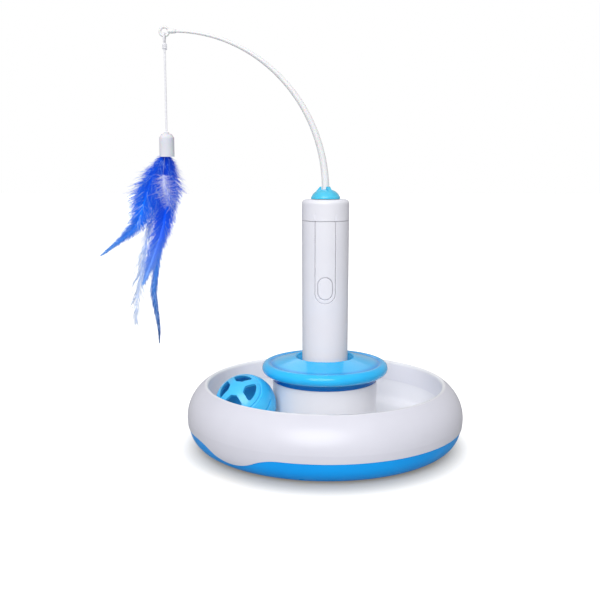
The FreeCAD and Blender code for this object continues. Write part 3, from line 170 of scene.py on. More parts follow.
def moulded_abs(name, light, deep, roughness=0.3, peel=0.04, coat=0.0, glow=0.0, shine=0.5, tints=()):
    """Moulded plastic: two near shades that drift into each other, and orange peel in the gloss."""
    made, tree, shader = new_material(name)
    place = add_node(tree, "ShaderNodeTexCoord").outputs["Object"]
    drift = add_node(tree, "ShaderNodeTexNoise", None, Vector=place, Scale=1 / (DRIFT_MM * MM), Detail=2.0)
    colour = colour_ramp(tree, drift.outputs["Fac"], (0.3, deep), (0.7, light))
    for one in tints:
        colour = tint(tree, place, colour, *one)
    tree.links.new(colour, shader.inputs["Base Color"])
    waves = add_node(tree, "ShaderNodeTexNoise", None, Vector=place, Scale=1 / (PEEL_MM * MM), Detail=3.0)
    bump = add_node(tree, "ShaderNodeBump", None, Strength=peel, Distance=0.2 * MM,
                    Height=waves.outputs["Fac"])
    tree.links.new(bump.outputs["Normal"], shader.inputs["Normal"])
    gloss = add_node(tree, "ShaderNodeMapRange", None, Value=waves.outputs["Fac"], To_Min=roughness * 0.85,
                     To_Max=roughness * 1.15)
    tree.links.new(gloss.outputs["Result"], shader.inputs["Roughness"])
    set_shader(shader, IOR=1.52, Specular_IOR_Level=shine, Coat_Weight=coat, Coat_Roughness=0.08,
               Subsurface_Weight=glow, Subsurface_Scale=2 * MM)
    return made


# %% [markdown]
# Each tint below is a colour, a table by distance from the axis and a table by height. A table holds
# pairs of millimetres and 0 or 1, and runs smoothly from one pair to the next.

# %% White, blue and cyan pieces
EVERYWHERE = [(0, 1), (100, 1)]
# Painted light: the ring's inner wall, inside the lip, is painted paler than the body.
PAINTED_PALE_INNER_WALL = ("#F0F0F7", [(103.2, 1), (104.2, 0)], EVERYWHERE)
# Painted highlight: a pure white band along the ring's lip, where its rounding would catch the light.
PAINTED_LIP_HIGHLIGHT = ("#FFFFFF", [(104.2, 1), (105.4, 0)], [(51, 0), (51.8, 1)])
# Painted shade: the disc's neck under its bead is painted a deeper blue below 62 mm.
PAINTED_NECK_SHADE = ("#0C6CBC", EVERYWHERE, [(61.6, 1), (62.6, 0)])
# Painted shade: a deeper blue line in the crease inside the disc's bead.
PAINTED_CREASE_SHADE = ("#1890E4", [(46.2, 0), (47.0, 1), (47.8, 1), (48.6, 0)], [(66, 0), (67, 1)])
# Painted against light: the handle's foot is turned warmer to cancel the blue light that the disc throws on
# it.
WARM_FOOT_PAINTED_AGAINST_BOUNCE = ("#EFE6E6", EVERYWHERE, [(82, 1), (122, 0)])

white_abs = moulded_abs("white_abs_polished", "#DFDFEA", "#DBDBE6", roughness=0.32,
                        tints=[PAINTED_PALE_INNER_WALL, PAINTED_LIP_HIGHLIGHT])
tray_abs = moulded_abs("white_abs_bright", "#F8F8FC", "#F3F3F8", roughness=0.3)
hub_abs = moulded_abs("white_abs_soft", "#EBEAEE", "#E7E6EA", roughness=0.3)
handle_abs = moulded_abs("white_abs_satin", "#EFEFF7", "#EAEAF3", roughness=0.38, tints=[WARM_FOOT_PAINTED_AGAINST_BOUNCE])
base_blue = moulded_abs("blue_abs_satin", "#10A8FF", "#0EA0FA", roughness=0.4, shine=0.2)
disc_blue = moulded_abs("blue_abs_gloss", "#30C2FF", "#28BAFA", roughness=0.14, peel=0.02, coat=0.15,
                        shine=0.25, tints=[PAINTED_NECK_SHADE, PAINTED_CREASE_SHADE])
ball_blue = moulded_abs("blue_polypropylene", "#48CAFF", "#38BEFC", roughness=0.32, glow=0.1, shine=0.6)
dome_cyan = moulded_abs("cyan_abs_gloss", "#48CAEE", "#3CC0E6", roughness=0.25, coat=0.3, glow=0.1)
wand_white = moulded_abs("white_nylon_rod", "#F4F4F6", "#EFEFF2", roughness=0.35, glow=0.1)
cap_clear = moulded_abs("milky_polypropylene", "#E9EAF2", "#DFE1EC", roughness=0.22, glow=0.25)
chassis_grey = moulded_abs("grey_abs_matt", "#5B5E63", "#53565B", roughness=0.55)
gear_nylon = moulded_abs("natural_nylon", "#EEE8D8", "#E6DFCC", roughness=0.42, glow=0.15)
switch_black = moulded_abs("black_nylon", "#1B1C1E", "#151618", roughness=0.45)
dress(white_abs, "ring_housing")
dress(tray_abs, "track_tray", "socket_cup")
dress(hub_abs, "hub_sleeve")
dress(handle_abs, "handle_tube", "switch_panel", "power_button", "handle_cap", "handle_end_cap")
dress(base_blue, "bottom_shell")
dress(disc_blue, "track_disc")
dress(ball_blue, "ball_upper_half", "ball_lower_half")
dress(dome_cyan, "rotor_dome")
dress(wand_white, "wand_rod", "tip_ring")
dress(cap_clear, "lure_cap")
dress(chassis_grey, "inner_chassis")
dress(gear_nylon, "motor_pinion", "gear_one", "gear_two", "gear_three", "output_gear")
dress(switch_black, "tact_switch", "switch_plunger", "board_components")

# %% [markdown]
# ## Rubber
# The toy stands on a ring of moulded rubber. Rubber is dull and never quite black, and its fine grain
# scatters the light, so the roughness is high and a noise gives both the shade and a small bump.

# %% The anti-slip ring


def rubber(name):
    """Dark moulded rubber with a grain of 1.2 mm, coarser than the real one so that it shows."""
    made, tree, shader = new_material(name)
    place = add_node(tree, "ShaderNodeTexCoord").outputs["Object"]
    grain = add_node(tree, "ShaderNodeTexNoise", None, Vector=place, Scale=1 / (1.2 * MM), Detail=4.0)
    tree.links.new(colour_ramp(tree, grain.outputs["Fac"], (0.3, "#242427"), (0.7, "#303034")),
                   shader.inputs["Base Color"])
    bump = add_node(tree, "ShaderNodeBump", None, Strength=0.3, Distance=0.2 * MM,
                    Height=grain.outputs["Fac"])
    tree.links.new(bump.outputs["Normal"], shader.inputs["Normal"])
    set_shader(shader, Roughness=0.8, IOR=1.5)
    return made


dress(rubber("moulded_rubber"), "anti_slip_ring")

# %% [markdown]
# ## Steel, nickel and bronze
# Screws, shafts, plates and the motor's can are inside the toy. Turning and drawing leave fine rings
# round the toy's upright axis. A noise that is stretched across that axis gives such marks without a
# drawn line each.

# %% Machined metal
MARK_MM = 0.8


def machined(name, light, deep, roughness):
    """Metal with fine marks one above the other, as turning and drawing leave."""
    made, tree, shader = new_material(name)
    place = add_node(tree, "ShaderNodeTexCoord").outputs["Object"]
    stretched = add_node(tree, "ShaderNodeMapping", None, Vector=place, Scale=(0.15, 0.15, 1.0))
    marks = add_node(tree, "ShaderNodeTexNoise", None, Vector=stretched.outputs["Vector"],
                     Scale=1 / (MARK_MM * MM), Detail=3.0)
    tree.links.new(colour_ramp(tree, marks.outputs["Fac"], (0.35, deep), (0.65, light)),
                   shader.inputs["Base Color"])
    bump = add_node(tree, "ShaderNodeBump", None, Strength=0.1, Distance=0.05 * MM,
                    Height=marks.outputs["Fac"])
    tree.links.new(bump.outputs["Normal"], shader.inputs["Normal"])
    set_shader(shader, Metallic=1.0, Roughness=roughness)
    return made


dress(machined("zinc_plated_steel", "#C9CBCE", "#B4B6BA", 0.35),
      "shell_screws", "hub_screws", "end_cap_screws", "motor_screws", "gearbox_screws")
dress(machined("ground_steel", "#D2D3D5", "#C0C1C4", 0.22), "gear_spindle", "motor_shaft", "output_shaft",
      "gearbox_posts", "gearbox_lower_plate", "gearbox_upper_plate")
dress(machined("drawn_nickel_can", "#D8D6D0", "#C8C5BE", 0.3), "motor_can", "charge_port", "cell_tabs")
dress(machined("sintered_bronze", "#C79A5B", "#B3864A", 0.4), "output_bushing")

# %% [markdown]
# ## Circuit board and cell
# The board is glass fibre under green solder mask, and the mask looks paler over the copper runs. A
# brick pattern is a quick stand-in for such runs. The cell has a heat-shrunk sleeve, glossy and a
# little wavy.

# %% Board and sleeve


def circuit_board(name):
    """Green solder mask with paler copper runs round fields of 2.5 by 1.25 mm."""
    made, tree, shader = new_material(name)
    place = add_node(tree, "ShaderNodeTexCoord").outputs["Object"]
    runs = add_node(tree, "ShaderNodeTexBrick", {"offset": 0.5}, Vector=place, Scale=1 / (5 * MM),
                    Color1=linear("#1E6B3C"), Color2=linear("#1A6036"), Mortar=linear("#3E8F58"),
                    Mortar_Size=0.03)
    tree.links.new(runs.outputs["Color"], shader.inputs["Base Color"])
    set_shader(shader, Roughness=0.3, IOR=1.5, Coat_Weight=0.3)
    return made


def shrink_wrap(name):
    """The cell's heat-shrunk sleeve, a little wavy where it has pulled tight."""
    made, tree, shader = new_material(name)
    place = add_node(tree, "ShaderNodeTexCoord").outputs["Object"]
    waves = add_node(tree, "ShaderNodeTexNoise", None, Vector=place, Scale=1 / (9 * MM), Detail=2.0)
    tree.links.new(colour_ramp(tree, waves.outputs["Fac"], (0.3, "#2C7F9E"), (0.7, "#3890B0")),
                   shader.inputs["Base Color"])
    bump = add_node(tree, "ShaderNodeBump", None, Strength=0.2, Distance=0.3 * MM,
                    Height=waves.outputs["Fac"])
    tree.links.new(bump.outputs["Normal"], shader.inputs["Normal"])
    set_shader(shader, Roughness=0.25, IOR=1.5)
    return made


dress(circuit_board("solder_mask_board"), "circuit_board")
dress(shrink_wrap("shrink_sleeve"), "battery_cell")

# %% [markdown]
# ## The string
# A thin braided cord is looped over the ring's wire and held by a barrel knot. Below the knot it hangs
# straight, because the lure pulls it tight. It could be a row of short rods, but a smooth spline is the
# natural form for a cord and gives its length too. The points run from the knot up, over the wire and
# down to the lure.

# %% The string's line
RING_X, RING_Z = -134.407, 350.979
LOOP_Z = RING_Z - 3.6
KNOT_Z = LOOP_Z - 8.5
STRING_RADIUS = 0.9
LURE_TOP = 269.0
STRING_POINTS = [(0.95, KNOT_Z), (0.95, KNOT_Z + 1.8), (1.1, KNOT_Z + 3.6), (2.3, LOOP_Z - 3),
                 (2.4, LOOP_Z + 0.6), (2.0, LOOP_Z + 2.5), (-2.0, LOOP_Z + 2.5), (-2.4, LOOP_Z + 0.6),
                 (-2.3, LOOP_Z - 3), (-1.1, KNOT_Z + 3.6), (-0.95, KNOT_Z + 1.2), (0, KNOT_Z - 3),
                 (0, KNOT_Z - 12), (0, LURE_TOP + 12), (0, LURE_TOP + 0.7)]


def nurbs_line(name, points, radius):
    """A smooth cord through the control points, as a curve of one open spline. Points are in mm."""
    curve = bpy.data.curves.new(name, "CURVE")
    curve.dimensions = "3D"
    curve.bevel_depth, curve.bevel_resolution, curve.use_fill_caps = radius * MM, 4, True
    spline = curve.splines.new("NURBS")
    spline.points.add(len(points) - 1)
    for point, place in zip(spline.points, points):
        point.co = (place[0] * MM, place[1] * MM, place[2] * MM, 1)
    spline.order_u = 3
    spline.use_endpoint_u = True
    spline.resolution_u = 12
    made = bpy.data.objects.new(name, curve)
    bpy.context.scene.collection.objects.link(made)
    return made


def line_length(points):
    """Length in mm of the smooth line that the control points give."""
    probe = nurbs_line("probe", points, 0)
    mesh = bpy.data.meshes.new_from_object(probe)
    places = np.array([tuple(vertex.co) for vertex in mesh.vertices]) / MM
    bpy.data.objects.remove(probe)
    bpy.data.meshes.remove(mesh)
    return float(np.linalg.norm(np.diff(places, axis=0), axis=1).sum())


string_points = [(RING_X, y, z) for y, z in STRING_POINTS]
string_length = line_length(string_points)
string = nurbs_line("hanging_string", string_points, STRING_RADIUS)
print("string length in mm: %.1f" % string_length)

# %% [markdown]
# ### The knot
# A barrel knot is the cord wound round its own two strands. A disc as wide as the strand, swept by the
# Screw modifier, gives such turns directly. Its first and last faces close the coil.

# %% The knot's three turns
STRAND_RADIUS, COIL_RADIUS, COIL_RISE, COIL_TURNS = 0.75, 1.35, 1.35, 3


def select_only(piece):
    """Select one object alone and make it active."""
    for other in bpy.context.selected_objects:
        other.select_set(False)
    piece.select_set(True)
    bpy.context.view_layer.objects.active = piece


def knot_on_string():
    """A barrel knot: turns of the cord round the two strands, with doubles merged."""
    bpy.ops.mesh.primitive_circle_add(vertices=12, radius=STRAND_RADIUS * MM, fill_type="NGON",
                                      location=(COIL_RADIUS * MM, 0, 0), rotation=(math.pi / 2, 0, 0))
    knot = bpy.context.active_object
    knot.name = "string_knot"
    bpy.ops.object.transform_apply(location=True, rotation=True, scale=True)
    turns = knot.modifiers.new("turns", "SCREW")
    turns.screw_offset, turns.iterations, turns.angle = COIL_RISE * MM, COIL_TURNS, 2 * math.pi
    turns.steps = turns.render_steps = 24
    turns.use_merge_vertices = True
    select_only(knot)
    bpy.ops.object.modifier_apply(modifier="turns")
    for vertex in knot.data.vertices:
        vertex.co += Vector((RING_X, 0, KNOT_Z - 2)) * MM
    bpy.ops.object.mode_set(mode="EDIT")
    bpy.ops.mesh.select_all(action="SELECT")
    bpy.ops.mesh.remove_doubles(threshold=0.001 * MM)
    bpy.ops.mesh.normals_make_consistent(inside=False)
    bpy.ops.object.mode_set(mode="OBJECT")
    bpy.ops.object.shade_smooth()
    return knot


knot = knot_on_string()
print("knot:", len(knot.data.polygons), "faces")

# %% [markdown]
# ### Cord finish
# The cord is braided white polyester, matt and a little see-through. A wave pattern across it stands
# for the plait. Light that passes through so thin a cord is drawn as a little white that it gives off.

# %% Braided polyester


def braided_cord(name):
    """White cord with a plait drawn as bands across it."""
    made, tree, shader = new_material(name)
    place = add_node(tree, "ShaderNodeTexCoord").outputs["Object"]
    plait = add_node(tree, "ShaderNodeTexWave", {"bands_direction": "Z"}, Vector=place,
                     Scale=1 / (10 * MM), Distortion=3.0, Detail=1.0)
    colour = colour_ramp(tree, plait.outputs["Fac"], (0.2, "#E0E0E5"), (0.8, "#E5E5EA"))
    for socket in ("Base Color", "Emission Color"):
        tree.links.new(colour, shader.inputs[socket])
    bump = add_node(tree, "ShaderNodeBump", None, Strength=0.04, Distance=0.1 * MM,
                    Height=plait.outputs["Fac"])
    tree.links.new(bump.outputs["Normal"], shader.inputs["Normal"])
    set_shader(shader, Roughness=0.7, Specular_IOR_Level=0.1, Emission_Strength=0.18)
    return made


cord_finish = braided_cord("braided_polyester")
for piece in (string, knot):
    piece.data.materials.append(cord_finish)
    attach(piece, "string")
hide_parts("lure_string")

# %% [markdown]
# ## Feathers
# A feather is a tapered shaft with a row of barbs down each side. The lure has dyed hackles with firm
# barbs, and loose down, whose barbs are long, soft and untidy. Hair would draw them too, but it isn't a
# mesh and is lost in an export. So one barb is modelled once, as a thin three-sided blade, and each
# copy is bent along its own line, which makes the fringe as uneven as the real one.

# %% One barb, modelled once


def barb_blade(segments=5):
    """A three-sided blade one unit long along X, narrower towards its tip: corner places and faces."""
    bpy.ops.mesh.primitive_cone_add(vertices=3, radius1=1.0, radius2=0.12, depth=1.0, end_fill_type="NGON",
                                    location=(0, 0, 0.5))
    blade = bpy.context.active_object
    bpy.ops.object.transform_apply(location=True, rotation=True, scale=True)
    bpy.ops.object.mode_set(mode="EDIT")
    for cut in range(1, segments):
        bpy.ops.mesh.select_all(action="SELECT")
        bpy.ops.mesh.bisect(plane_co=(0, 0, cut / segments), plane_no=(0, 0, 1))
    bpy.ops.mesh.select_all(action="SELECT")
    bpy.ops.mesh.quads_convert_to_tris()
    bpy.ops.object.mode_set(mode="OBJECT")
    corners = np.array([tuple(vertex.co) for vertex in blade.data.vertices])
    faces = np.array([tuple(face.vertices) for face in blade.data.polygons])
    bpy.data.objects.remove(blade)
    return corners, faces


BARB_CORNERS, BARB_FACES = barb_blade()
print("barb:", len(BARB_CORNERS), "corners,", len(BARB_FACES), "faces")

# %% [markdown]
# ### Lines and tables
# The shaft's line is smoothed through a few points picked from the photograph, and lies in the space of
# the CAD feather. A curve that goes through its points is easier to match to a picture than one that
# only nears them. Width tables give how far the barbs reach to each side. All numbers are in
# millimetres.

# %% A smooth line, unit rows and a table


def smooth_line(points, count):
    """Evenly spaced places on a smooth line through the points, by the Catmull-Rom rule."""
    given = np.array(points, float)
    padded = np.vstack([2 * given[0] - given[1], given, 2 * given[-1] - given[-2]])
    dense = []
    for start in range(len(given) - 1):
        a, b, c, d = padded[start:start + 4]
        last = start == len(given) - 2
        t = np.linspace(0, 1, 40, endpoint=last)[:, None]
        dense.append(0.5 * (2 * b + (c - a) * t + (2 * a - 5 * b + 4 * c - d) * t ** 2
                            + (3 * b - a - 3 * c + d) * t ** 3))
    dense = np.vstack(dense)
    run = np.concatenate([[0], np.cumsum(np.linalg.norm(np.diff(dense, axis=0), axis=1))])
    even = np.linspace(0, run[-1], count)
    return np.stack([np.interp(even, run, dense[:, axis]) for axis in range(3)], axis=1)


def unit(rows):
    """Each row at length one."""
    return rows / np.linalg.norm(rows, axis=-1, keepdims=True)


def table(pairs, place):
    """The value that a table of pairs gives at a place."""
    xs, ys = zip(*pairs)
    return np.interp(place, xs, ys)


print("a line of five places:", smooth_line([(0, 0, 0), (1, 0, 1), (2, 0, 0)], 5).round(2).tolist())

# %% [markdown]
# ### The shaft
# The quill is round and ends in a point. Six sides are enough at its size.

# %% A tapered tube
LINE_PLACES, SHAFT_STEP, SHAFT_SIDES = 200, 4, 6


def shaft_tube(line, across, face, radius):
    """The shaft: a tube that tapers to the tip, closed at both ends."""
    places = line[::SHAFT_STEP]
    count = len(places)
    taper = radius * (1 - 0.85 * np.linspace(0, 1, count))[:, None]
    rings = [places + taper * (math.cos(turn) * across[::SHAFT_STEP] + math.sin(turn) * face)
             for turn in np.arange(SHAFT_SIDES) * 2 * math.pi / SHAFT_SIDES]
    corners = np.stack(rings, axis=1).reshape(-1, 3)
    faces = []
    for ring in range(count - 1):
        for side in range(SHAFT_SIDES):
            a = ring * SHAFT_SIDES + side
            b = ring * SHAFT_SIDES + (side + 1) % SHAFT_SIDES
            faces += [(a, b, b + SHAFT_SIDES), (a, b + SHAFT_SIDES, a + SHAFT_SIDES)]
    last = (count - 1) * SHAFT_SIDES
    faces += [(0, side + 1, side) for side in range(1, SHAFT_SIDES - 1)]
    faces += [(last, last + side, last + side + 1) for side in range(1, SHAFT_SIDES - 1)]
    return corners, np.array(faces)


# %% [markdown]
# ### One feather
# Barbs grow at chance places on each side, lean towards the tip and bend after it. Each has its own
# length, lean, bend and wave, from a seeded generator, so that every run gives the same feather. The
# attribute barb_tone keeps what the finish needs: the place along the barb, the place along the feather
# and a chance number.

# %% Build one feather
SHORTEST_BARB = 0.6
BARB_THINNESS = 0.6
WAVE_SHARE = 0.35


def make_feather(name, spine, reach, barbs, lean, stray, barb_radius, seed, curve=0.5, depth_stray=0.1,
                 shaft=0.7):
    """A shaft with barbs down both sides. reach holds a left and a right table of barb lengths."""
    chance = np.random.default_rng(seed)
    line = smooth_line(spine, LINE_PLACES)
    along = unit(np.gradient(line, axis=0))
    face = np.array([0.0, -1.0, 0.0])
    across = unit(np.cross(along, face))
    share = BARB_CORNERS[:, 2:3]
    corners, faces, tones, total = [], [], [], 0
    for side, widths in zip((-1, 1), reach):
        places = np.sort(chance.uniform(widths[0][0], widths[-1][0], barbs))
        for place in places:
            index = min(int(place * (LINE_PLACES - 1)), LINE_PLACES - 1)
            length = table(widths, place) * chance.uniform(1 - 2.2 * stray, 1 + stray)
            if length < SHORTEST_BARB:
                continue
            angle = math.radians(lean * chance.uniform(1 - 2 * stray, 1 + 2 * stray))
            out = across[index] * side
            heading = math.cos(angle) * along[index] + math.sin(angle) * out
            rise = chance.normal(0, depth_stray)
            bend = curve * chance.uniform(0.4, 1.4)
            waves, phase = chance.uniform(3, 8), chance.uniform(0, 6)
            # The barb leans out, bends after the tip, leaves the feather's plane and waves a little.
            path = (line[index] + length * share * heading
                    + length * bend * 0.5 * share ** 2 * (along[index] - heading)
                    + length * rise * share ** 1.5 * face
                    + length * stray * WAVE_SHARE * np.sin(share * waves + phase) * share * out)
            flat = np.cross(heading, face)
            size = barb_radius * (0.75 + 0.5 * chance.random())
            corners.append(path + size * (BARB_CORNERS[:, :1] * flat
                                          + BARB_THINNESS * BARB_CORNERS[:, 1:2] * face))
            faces.append(BARB_FACES + total)
            total += len(BARB_CORNERS)
            tones.append(np.column_stack([share[:, 0], np.full(len(share), place),
                                          np.full(len(share), chance.random()), np.ones(len(share))]))
    shaft_corners, shaft_faces = shaft_tube(line, across, face, shaft)
    shaft_places = np.repeat(np.linspace(0, 1, LINE_PLACES // SHAFT_STEP), SHAFT_SIDES)
    corners.append(shaft_corners)
    faces.append(shaft_faces + total)
    tones.append(np.column_stack([np.zeros(len(shaft_corners)), shaft_places,
                                  np.full(len(shaft_corners), 0.5), np.zeros(len(shaft_corners))]))
    mesh = bpy.data.meshes.new(name)
    mesh.from_pydata((np.vstack(corners) * MM).tolist(), [], np.vstack(faces).tolist())
    tone = mesh.attributes.new("barb_tone", "FLOAT_COLOR", "POINT")
    tone.data.foreach_set("color", np.vstack(tones).astype(np.float32).ravel())
    mesh.validate()
    made = bpy.data.objects.new(name, mesh)
    bpy.context.scene.collection.objects.link(made)
    select_only(made)
    bpy.ops.object.mode_set(mode="EDIT")
    bpy.ops.mesh.select_all(action="SELECT")
    bpy.ops.mesh.normals_make_consistent(inside=False)
    bpy.ops.object.mode_set(mode="OBJECT")
    bpy.ops.object.shade_smooth()
    print(name, "faces:", len(mesh.polygons))
    return made


# %% [markdown]
# ### Feather finish
# Dyed feather is matt with a faint silky shine. The dye takes unevenly: barbs fade towards their tips,
# and some stay nearly white. The tone stored on each barb gives its place along the barb, along the
# feather, and chance. A noise in space would not know one barb from the next, which is why the tone is
# stored on the mesh. Barbs are so thin that light passes through them. A little of the dye's own
# colour, given off, stands for that.

# %% Dyed feather
TIP_FADE = 0.1


def dyed_feather(name, root, middle, tip, pale, pale_share, through_light=0.2):
    """Three dye shades from root to tip, with paler barb ends and some barbs left nearly white."""
    made, tree, shader = new_material(name)
    tone = add_node(tree, "ShaderNodeAttribute", {"attribute_name": "barb_tone"})
    parts = add_node(tree, "ShaderNodeSeparateColor", None, Color=tone.outputs["Color"])
    along = colour_ramp(tree, parts.outputs["Green"], (0.0, root), (0.5, middle), (1.0, tip))
    odd = add_node(tree, "ShaderNodeMath", {"operation": "LESS_THAN"}, _0=parts.outputs["Blue"],
                   _1=pale_share)
    faded = add_node(tree, "ShaderNodeMath", {"operation": "MULTIPLY"}, _0=parts.outputs["Red"],
                     _1=TIP_FADE)
    amount = add_node(tree, "ShaderNodeMath", {"operation": "MAXIMUM"}, _0=odd.outputs[0],
                      _1=faded.outputs[0])
    mixed = add_node(tree, "ShaderNodeMix", {"data_type": "RGBA"}, _0=amount.outputs[0], _6=along,
                     _7=linear(pale))
    for socket in ("Base Color", "Emission Color"):
        tree.links.new(mixed.outputs[2], shader.inputs[socket])
    set_shader(shader, Roughness=0.6, Specular_IOR_Level=0.1, Emission_Strength=through_light)
    return made


royal = dyed_feather("dyed_hackle_royal", "#0340D0", "#0A60F0", "#86B4F2", "#9CCAFF", 0.05)
royal_down = dyed_feather("dyed_down_royal", "#0340CC", "#0850E6", "#0C66F2", "#7CB4FF", 0.04)
sky = dyed_feather("dyed_hackle_sky", "#0348DC", "#0E7CF6", "#5A96DC", "#ACD4FF", 0.1)
azure = dyed_feather("dyed_hackle_azure", "#0650EC", "#4A92F2", "#24457C", "#B4D4FF", 0.14)
pale = dyed_feather("undyed_strands", "#3C84F4", "#B4D0FC", "#D2E0F8", "#EEF4FF", 0.3, 0.08)
mixed_down = dyed_feather("half_dyed_down", "#C8CEFA", "#CCD2FC", "#8CA8F4", "#ECEEFF", 0.4, 0.12)
feather_finishes = (royal, royal_down, sky, azure, pale, mixed_down)
print("feather finishes:", ", ".join(one.name for one in feather_finishes))

# %% [markdown]
# ### The lure's feathers
# Three dyed hackles hang from the cap: one sweeps out to the left, one is broad and straight, and one
# is long and narrow. A few undyed strands hang behind them and a tuft of pale down lies in front. Short
# dyed down round their roots hides where they meet. Each is made by the same function, with a line and
# widths of its own.

# %% Hackles, strands and down
feather_left = make_feather(
    "hackle_left", [(-136.6, -1.5, 259), (-139.5, -1.5, 247), (-147, -1.8, 232), (-153, -2, 216),
                    (-158, -2, 200), (-164, -1.6, 189), (-176, -1, 178), (-194, -0.6, 164)],
    ([(0.1, 8), (0.18, 16), (0.3, 22), (0.42, 20), (0.52, 14), (0.64, 9), (0.78, 5), (1.0, 1.0)],
     [(0.1, 6), (0.2, 13), (0.33, 19), (0.44, 17), (0.54, 12), (0.66, 8), (0.78, 4.5), (1.0, 1.0)]),
    barbs=1700, lean=42, stray=0.3, depth_stray=0.35, barb_radius=0.27, seed=3)
feather_centre = make_feather(
    "hackle_centre", [(-134.6, 0, 259), (-134.4, 0, 246), (-134.8, 0, 228), (-136, 0, 208), (-140, 0, 188),
                      (-147, 0.3, 168), (-153, 0.3, 152), (-158.3, 0.2, 139)],
    ([(0.08, 6), (0.2, 14), (0.4, 18), (0.6, 14), (0.8, 10), (1.0, 1.5)],
     [(0.08, 7), (0.18, 20), (0.32, 26), (0.45, 20), (0.6, 15), (0.8, 10), (1.0, 1.5)]),
    barbs=1500, lean=34, stray=0.24, depth_stray=0.28, barb_radius=0.26, seed=5)
feather_long = make_feather(
    "hackle_long", [(-135, 1.5, 259), (-136.2, 1.5, 246), (-139.6, 1.5, 200), (-145.2, 1.6, 160),
                    (-148.6, 1.8, 138), (-148, 1.8, 122), (-145.6, 1.6, 104), (-145.1, 1.5, 87)],
    ([(0.1, 6), (0.3, 9), (0.45, 10), (0.68, 11), (0.8, 8), (0.9, 5), (1.0, 1.5)],
     [(0.1, 6), (0.3, 9), (0.45, 10), (0.68, 11), (0.8, 8), (0.9, 5), (1.0, 1.5)]),
    barbs=1100, lean=20, stray=0.16, barb_radius=0.22, seed=7)
feather_pale = make_feather(
    "pale_strands", [(-135, 3, 259), (-137, 3, 246), (-148.5, 3, 200), (-156, 3.2, 170), (-161.5, 3.4, 142),
                     (-164.6, 3.2, 122), (-165, 3, 105)],
    ([(0.2, 4), (0.4, 20), (0.6, 27), (0.85, 18), (1.0, 6)],
     [(0.2, 4), (0.4, 22), (0.6, 30), (0.85, 20), (1.0, 6)]),
    barbs=240, lean=17, curve=0.6, stray=0.4, shaft=0.4, barb_radius=0.22, seed=11)
down_tuft = make_feather(
    "down_tuft_soft", [(-135.2, -3, 259), (-136.2, -3.4, 246), (-137.2, -4.8, 234), (-135.6, -5.4, 224),
                       (-132.8, -5, 215), (-131.6, -4.4, 208)],
    ([(0.5, 4), (0.58, 8), (0.75, 10), (0.9, 9), (1.0, 6)],
     [(0.5, 4), (0.58, 8), (0.75, 9), (0.9, 8), (1.0, 5)]),
    barbs=430, lean=62, curve=0.1, stray=0.5, depth_stray=0.5, shaft=0.12, barb_radius=0.17, seed=13)
down_collar = make_feather(
    "down_collar", [(-135.2, 0.8, 250), (-136, 0.8, 240), (-137.5, 1, 228), (-139, 1, 213)],
    ([(0.0, 9), (0.2, 15), (0.6, 22), (1.0, 14)],
     [(0.0, 9), (0.2, 14), (0.6, 21), (1.0, 12)]),
    barbs=1300, lean=58, curve=0.55, stray=0.26, depth_stray=0.45, barb_radius=0.27, seed=17)

# %% [markdown]
# ### Each on its body
# Every feather moves with the lure and stands for its flat CAD plate. The down round the roots is an
# extra piece.

# %% Finishes, bodies and the cord
for piece, finish, node, slot in (
        (feather_left, sky, "feather_left", "feather_blue"),
        (feather_centre, royal, "feather_centre", "feather_blue"),
        (feather_long, azure, "feather_long", "feather_blue"),
        (feather_pale, pale, "feather_pale", "feather_white"),
        (down_tuft, mixed_down, "down_tuft", "feather_white")):
    piece.data.materials.append(finish)
    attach(piece, "lure")
    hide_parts(node)
down_collar.data.materials.append(royal_down)
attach(down_collar, "lure")
print("cord declared: %.1f mm long, %.1f mm thick" % (string_length, 2 * STRING_RADIUS))

# %% [markdown]
# ## Floor
# The toy stands on a plain white floor. To be white without flooding the toy with light, the floor
# shows most of its white to the camera alone. Round the base that white turns to a warm grey: a painted
# shadow that follows the distance from the base's middle, warm to offset the blue light that the base
# throws on the floor. The lamps' own shadow lies over it.

# %% Paper floor
FLOOR_SIZE = 12
SHADE_MIDDLE = (0, -10 * MM, 0)
SHADE_FULL, SHADE_GONE = 97 * MM, 141 * MM

bpy.ops.mesh.primitive_plane_add(size=FLOOR_SIZE, location=(0, 0, 0))
floor = bpy.context.active_object
floor.name = "floor"
floor_paint, floor_tree, floor_shader = new_material("matt_white_paper")
grain = add_node(floor_tree, "ShaderNodeTexNoise", None, Scale=4.0,
                 Vector=add_node(floor_tree, "ShaderNodeTexCoord").outputs["Object"])
floor_tree.links.new(colour_ramp(floor_tree, grain.outputs["Fac"], (0.3, "#B4B4B4"), (0.7, "#B7B7B7")),
                     floor_shader.inputs["Base Color"])
camera_rays = add_node(floor_tree, "ShaderNodeLightPath").outputs["Is Camera Ray"]
from_toy = add_node(floor_tree, "ShaderNodeVectorMath", {"operation": "SUBTRACT"}, _1=SHADE_MIDDLE,
                    _0=add_node(floor_tree, "ShaderNodeTexCoord").outputs["Object"])
spread = add_node(floor_tree, "ShaderNodeVectorMath", {"operation": "LENGTH"}, _0=from_toy.outputs["Vector"])
shade = add_node(floor_tree, "ShaderNodeMapRange", {"interpolation_type": "SMOOTHSTEP"},
                 Value=spread.outputs["Value"], From_Min=SHADE_FULL, From_Max=SHADE_GONE)
# Painted shadow: warm grey near the base, white away from it.
floor_tree.links.new(colour_ramp(floor_tree, shade.outputs["Result"], (0.0, "#767061"), (1.0, "#F8F8F8")),
                     floor_shader.inputs["Emission Color"])
floor_tree.links.new(camera_rays, floor_shader.inputs["Emission Strength"])
set_shader(floor_shader, Roughness=0.95, Specular_IOR_Level=0.0)
floor.data.materials.append(floor_paint)
print("floor: %d m wide" % FLOOR_SIZE)

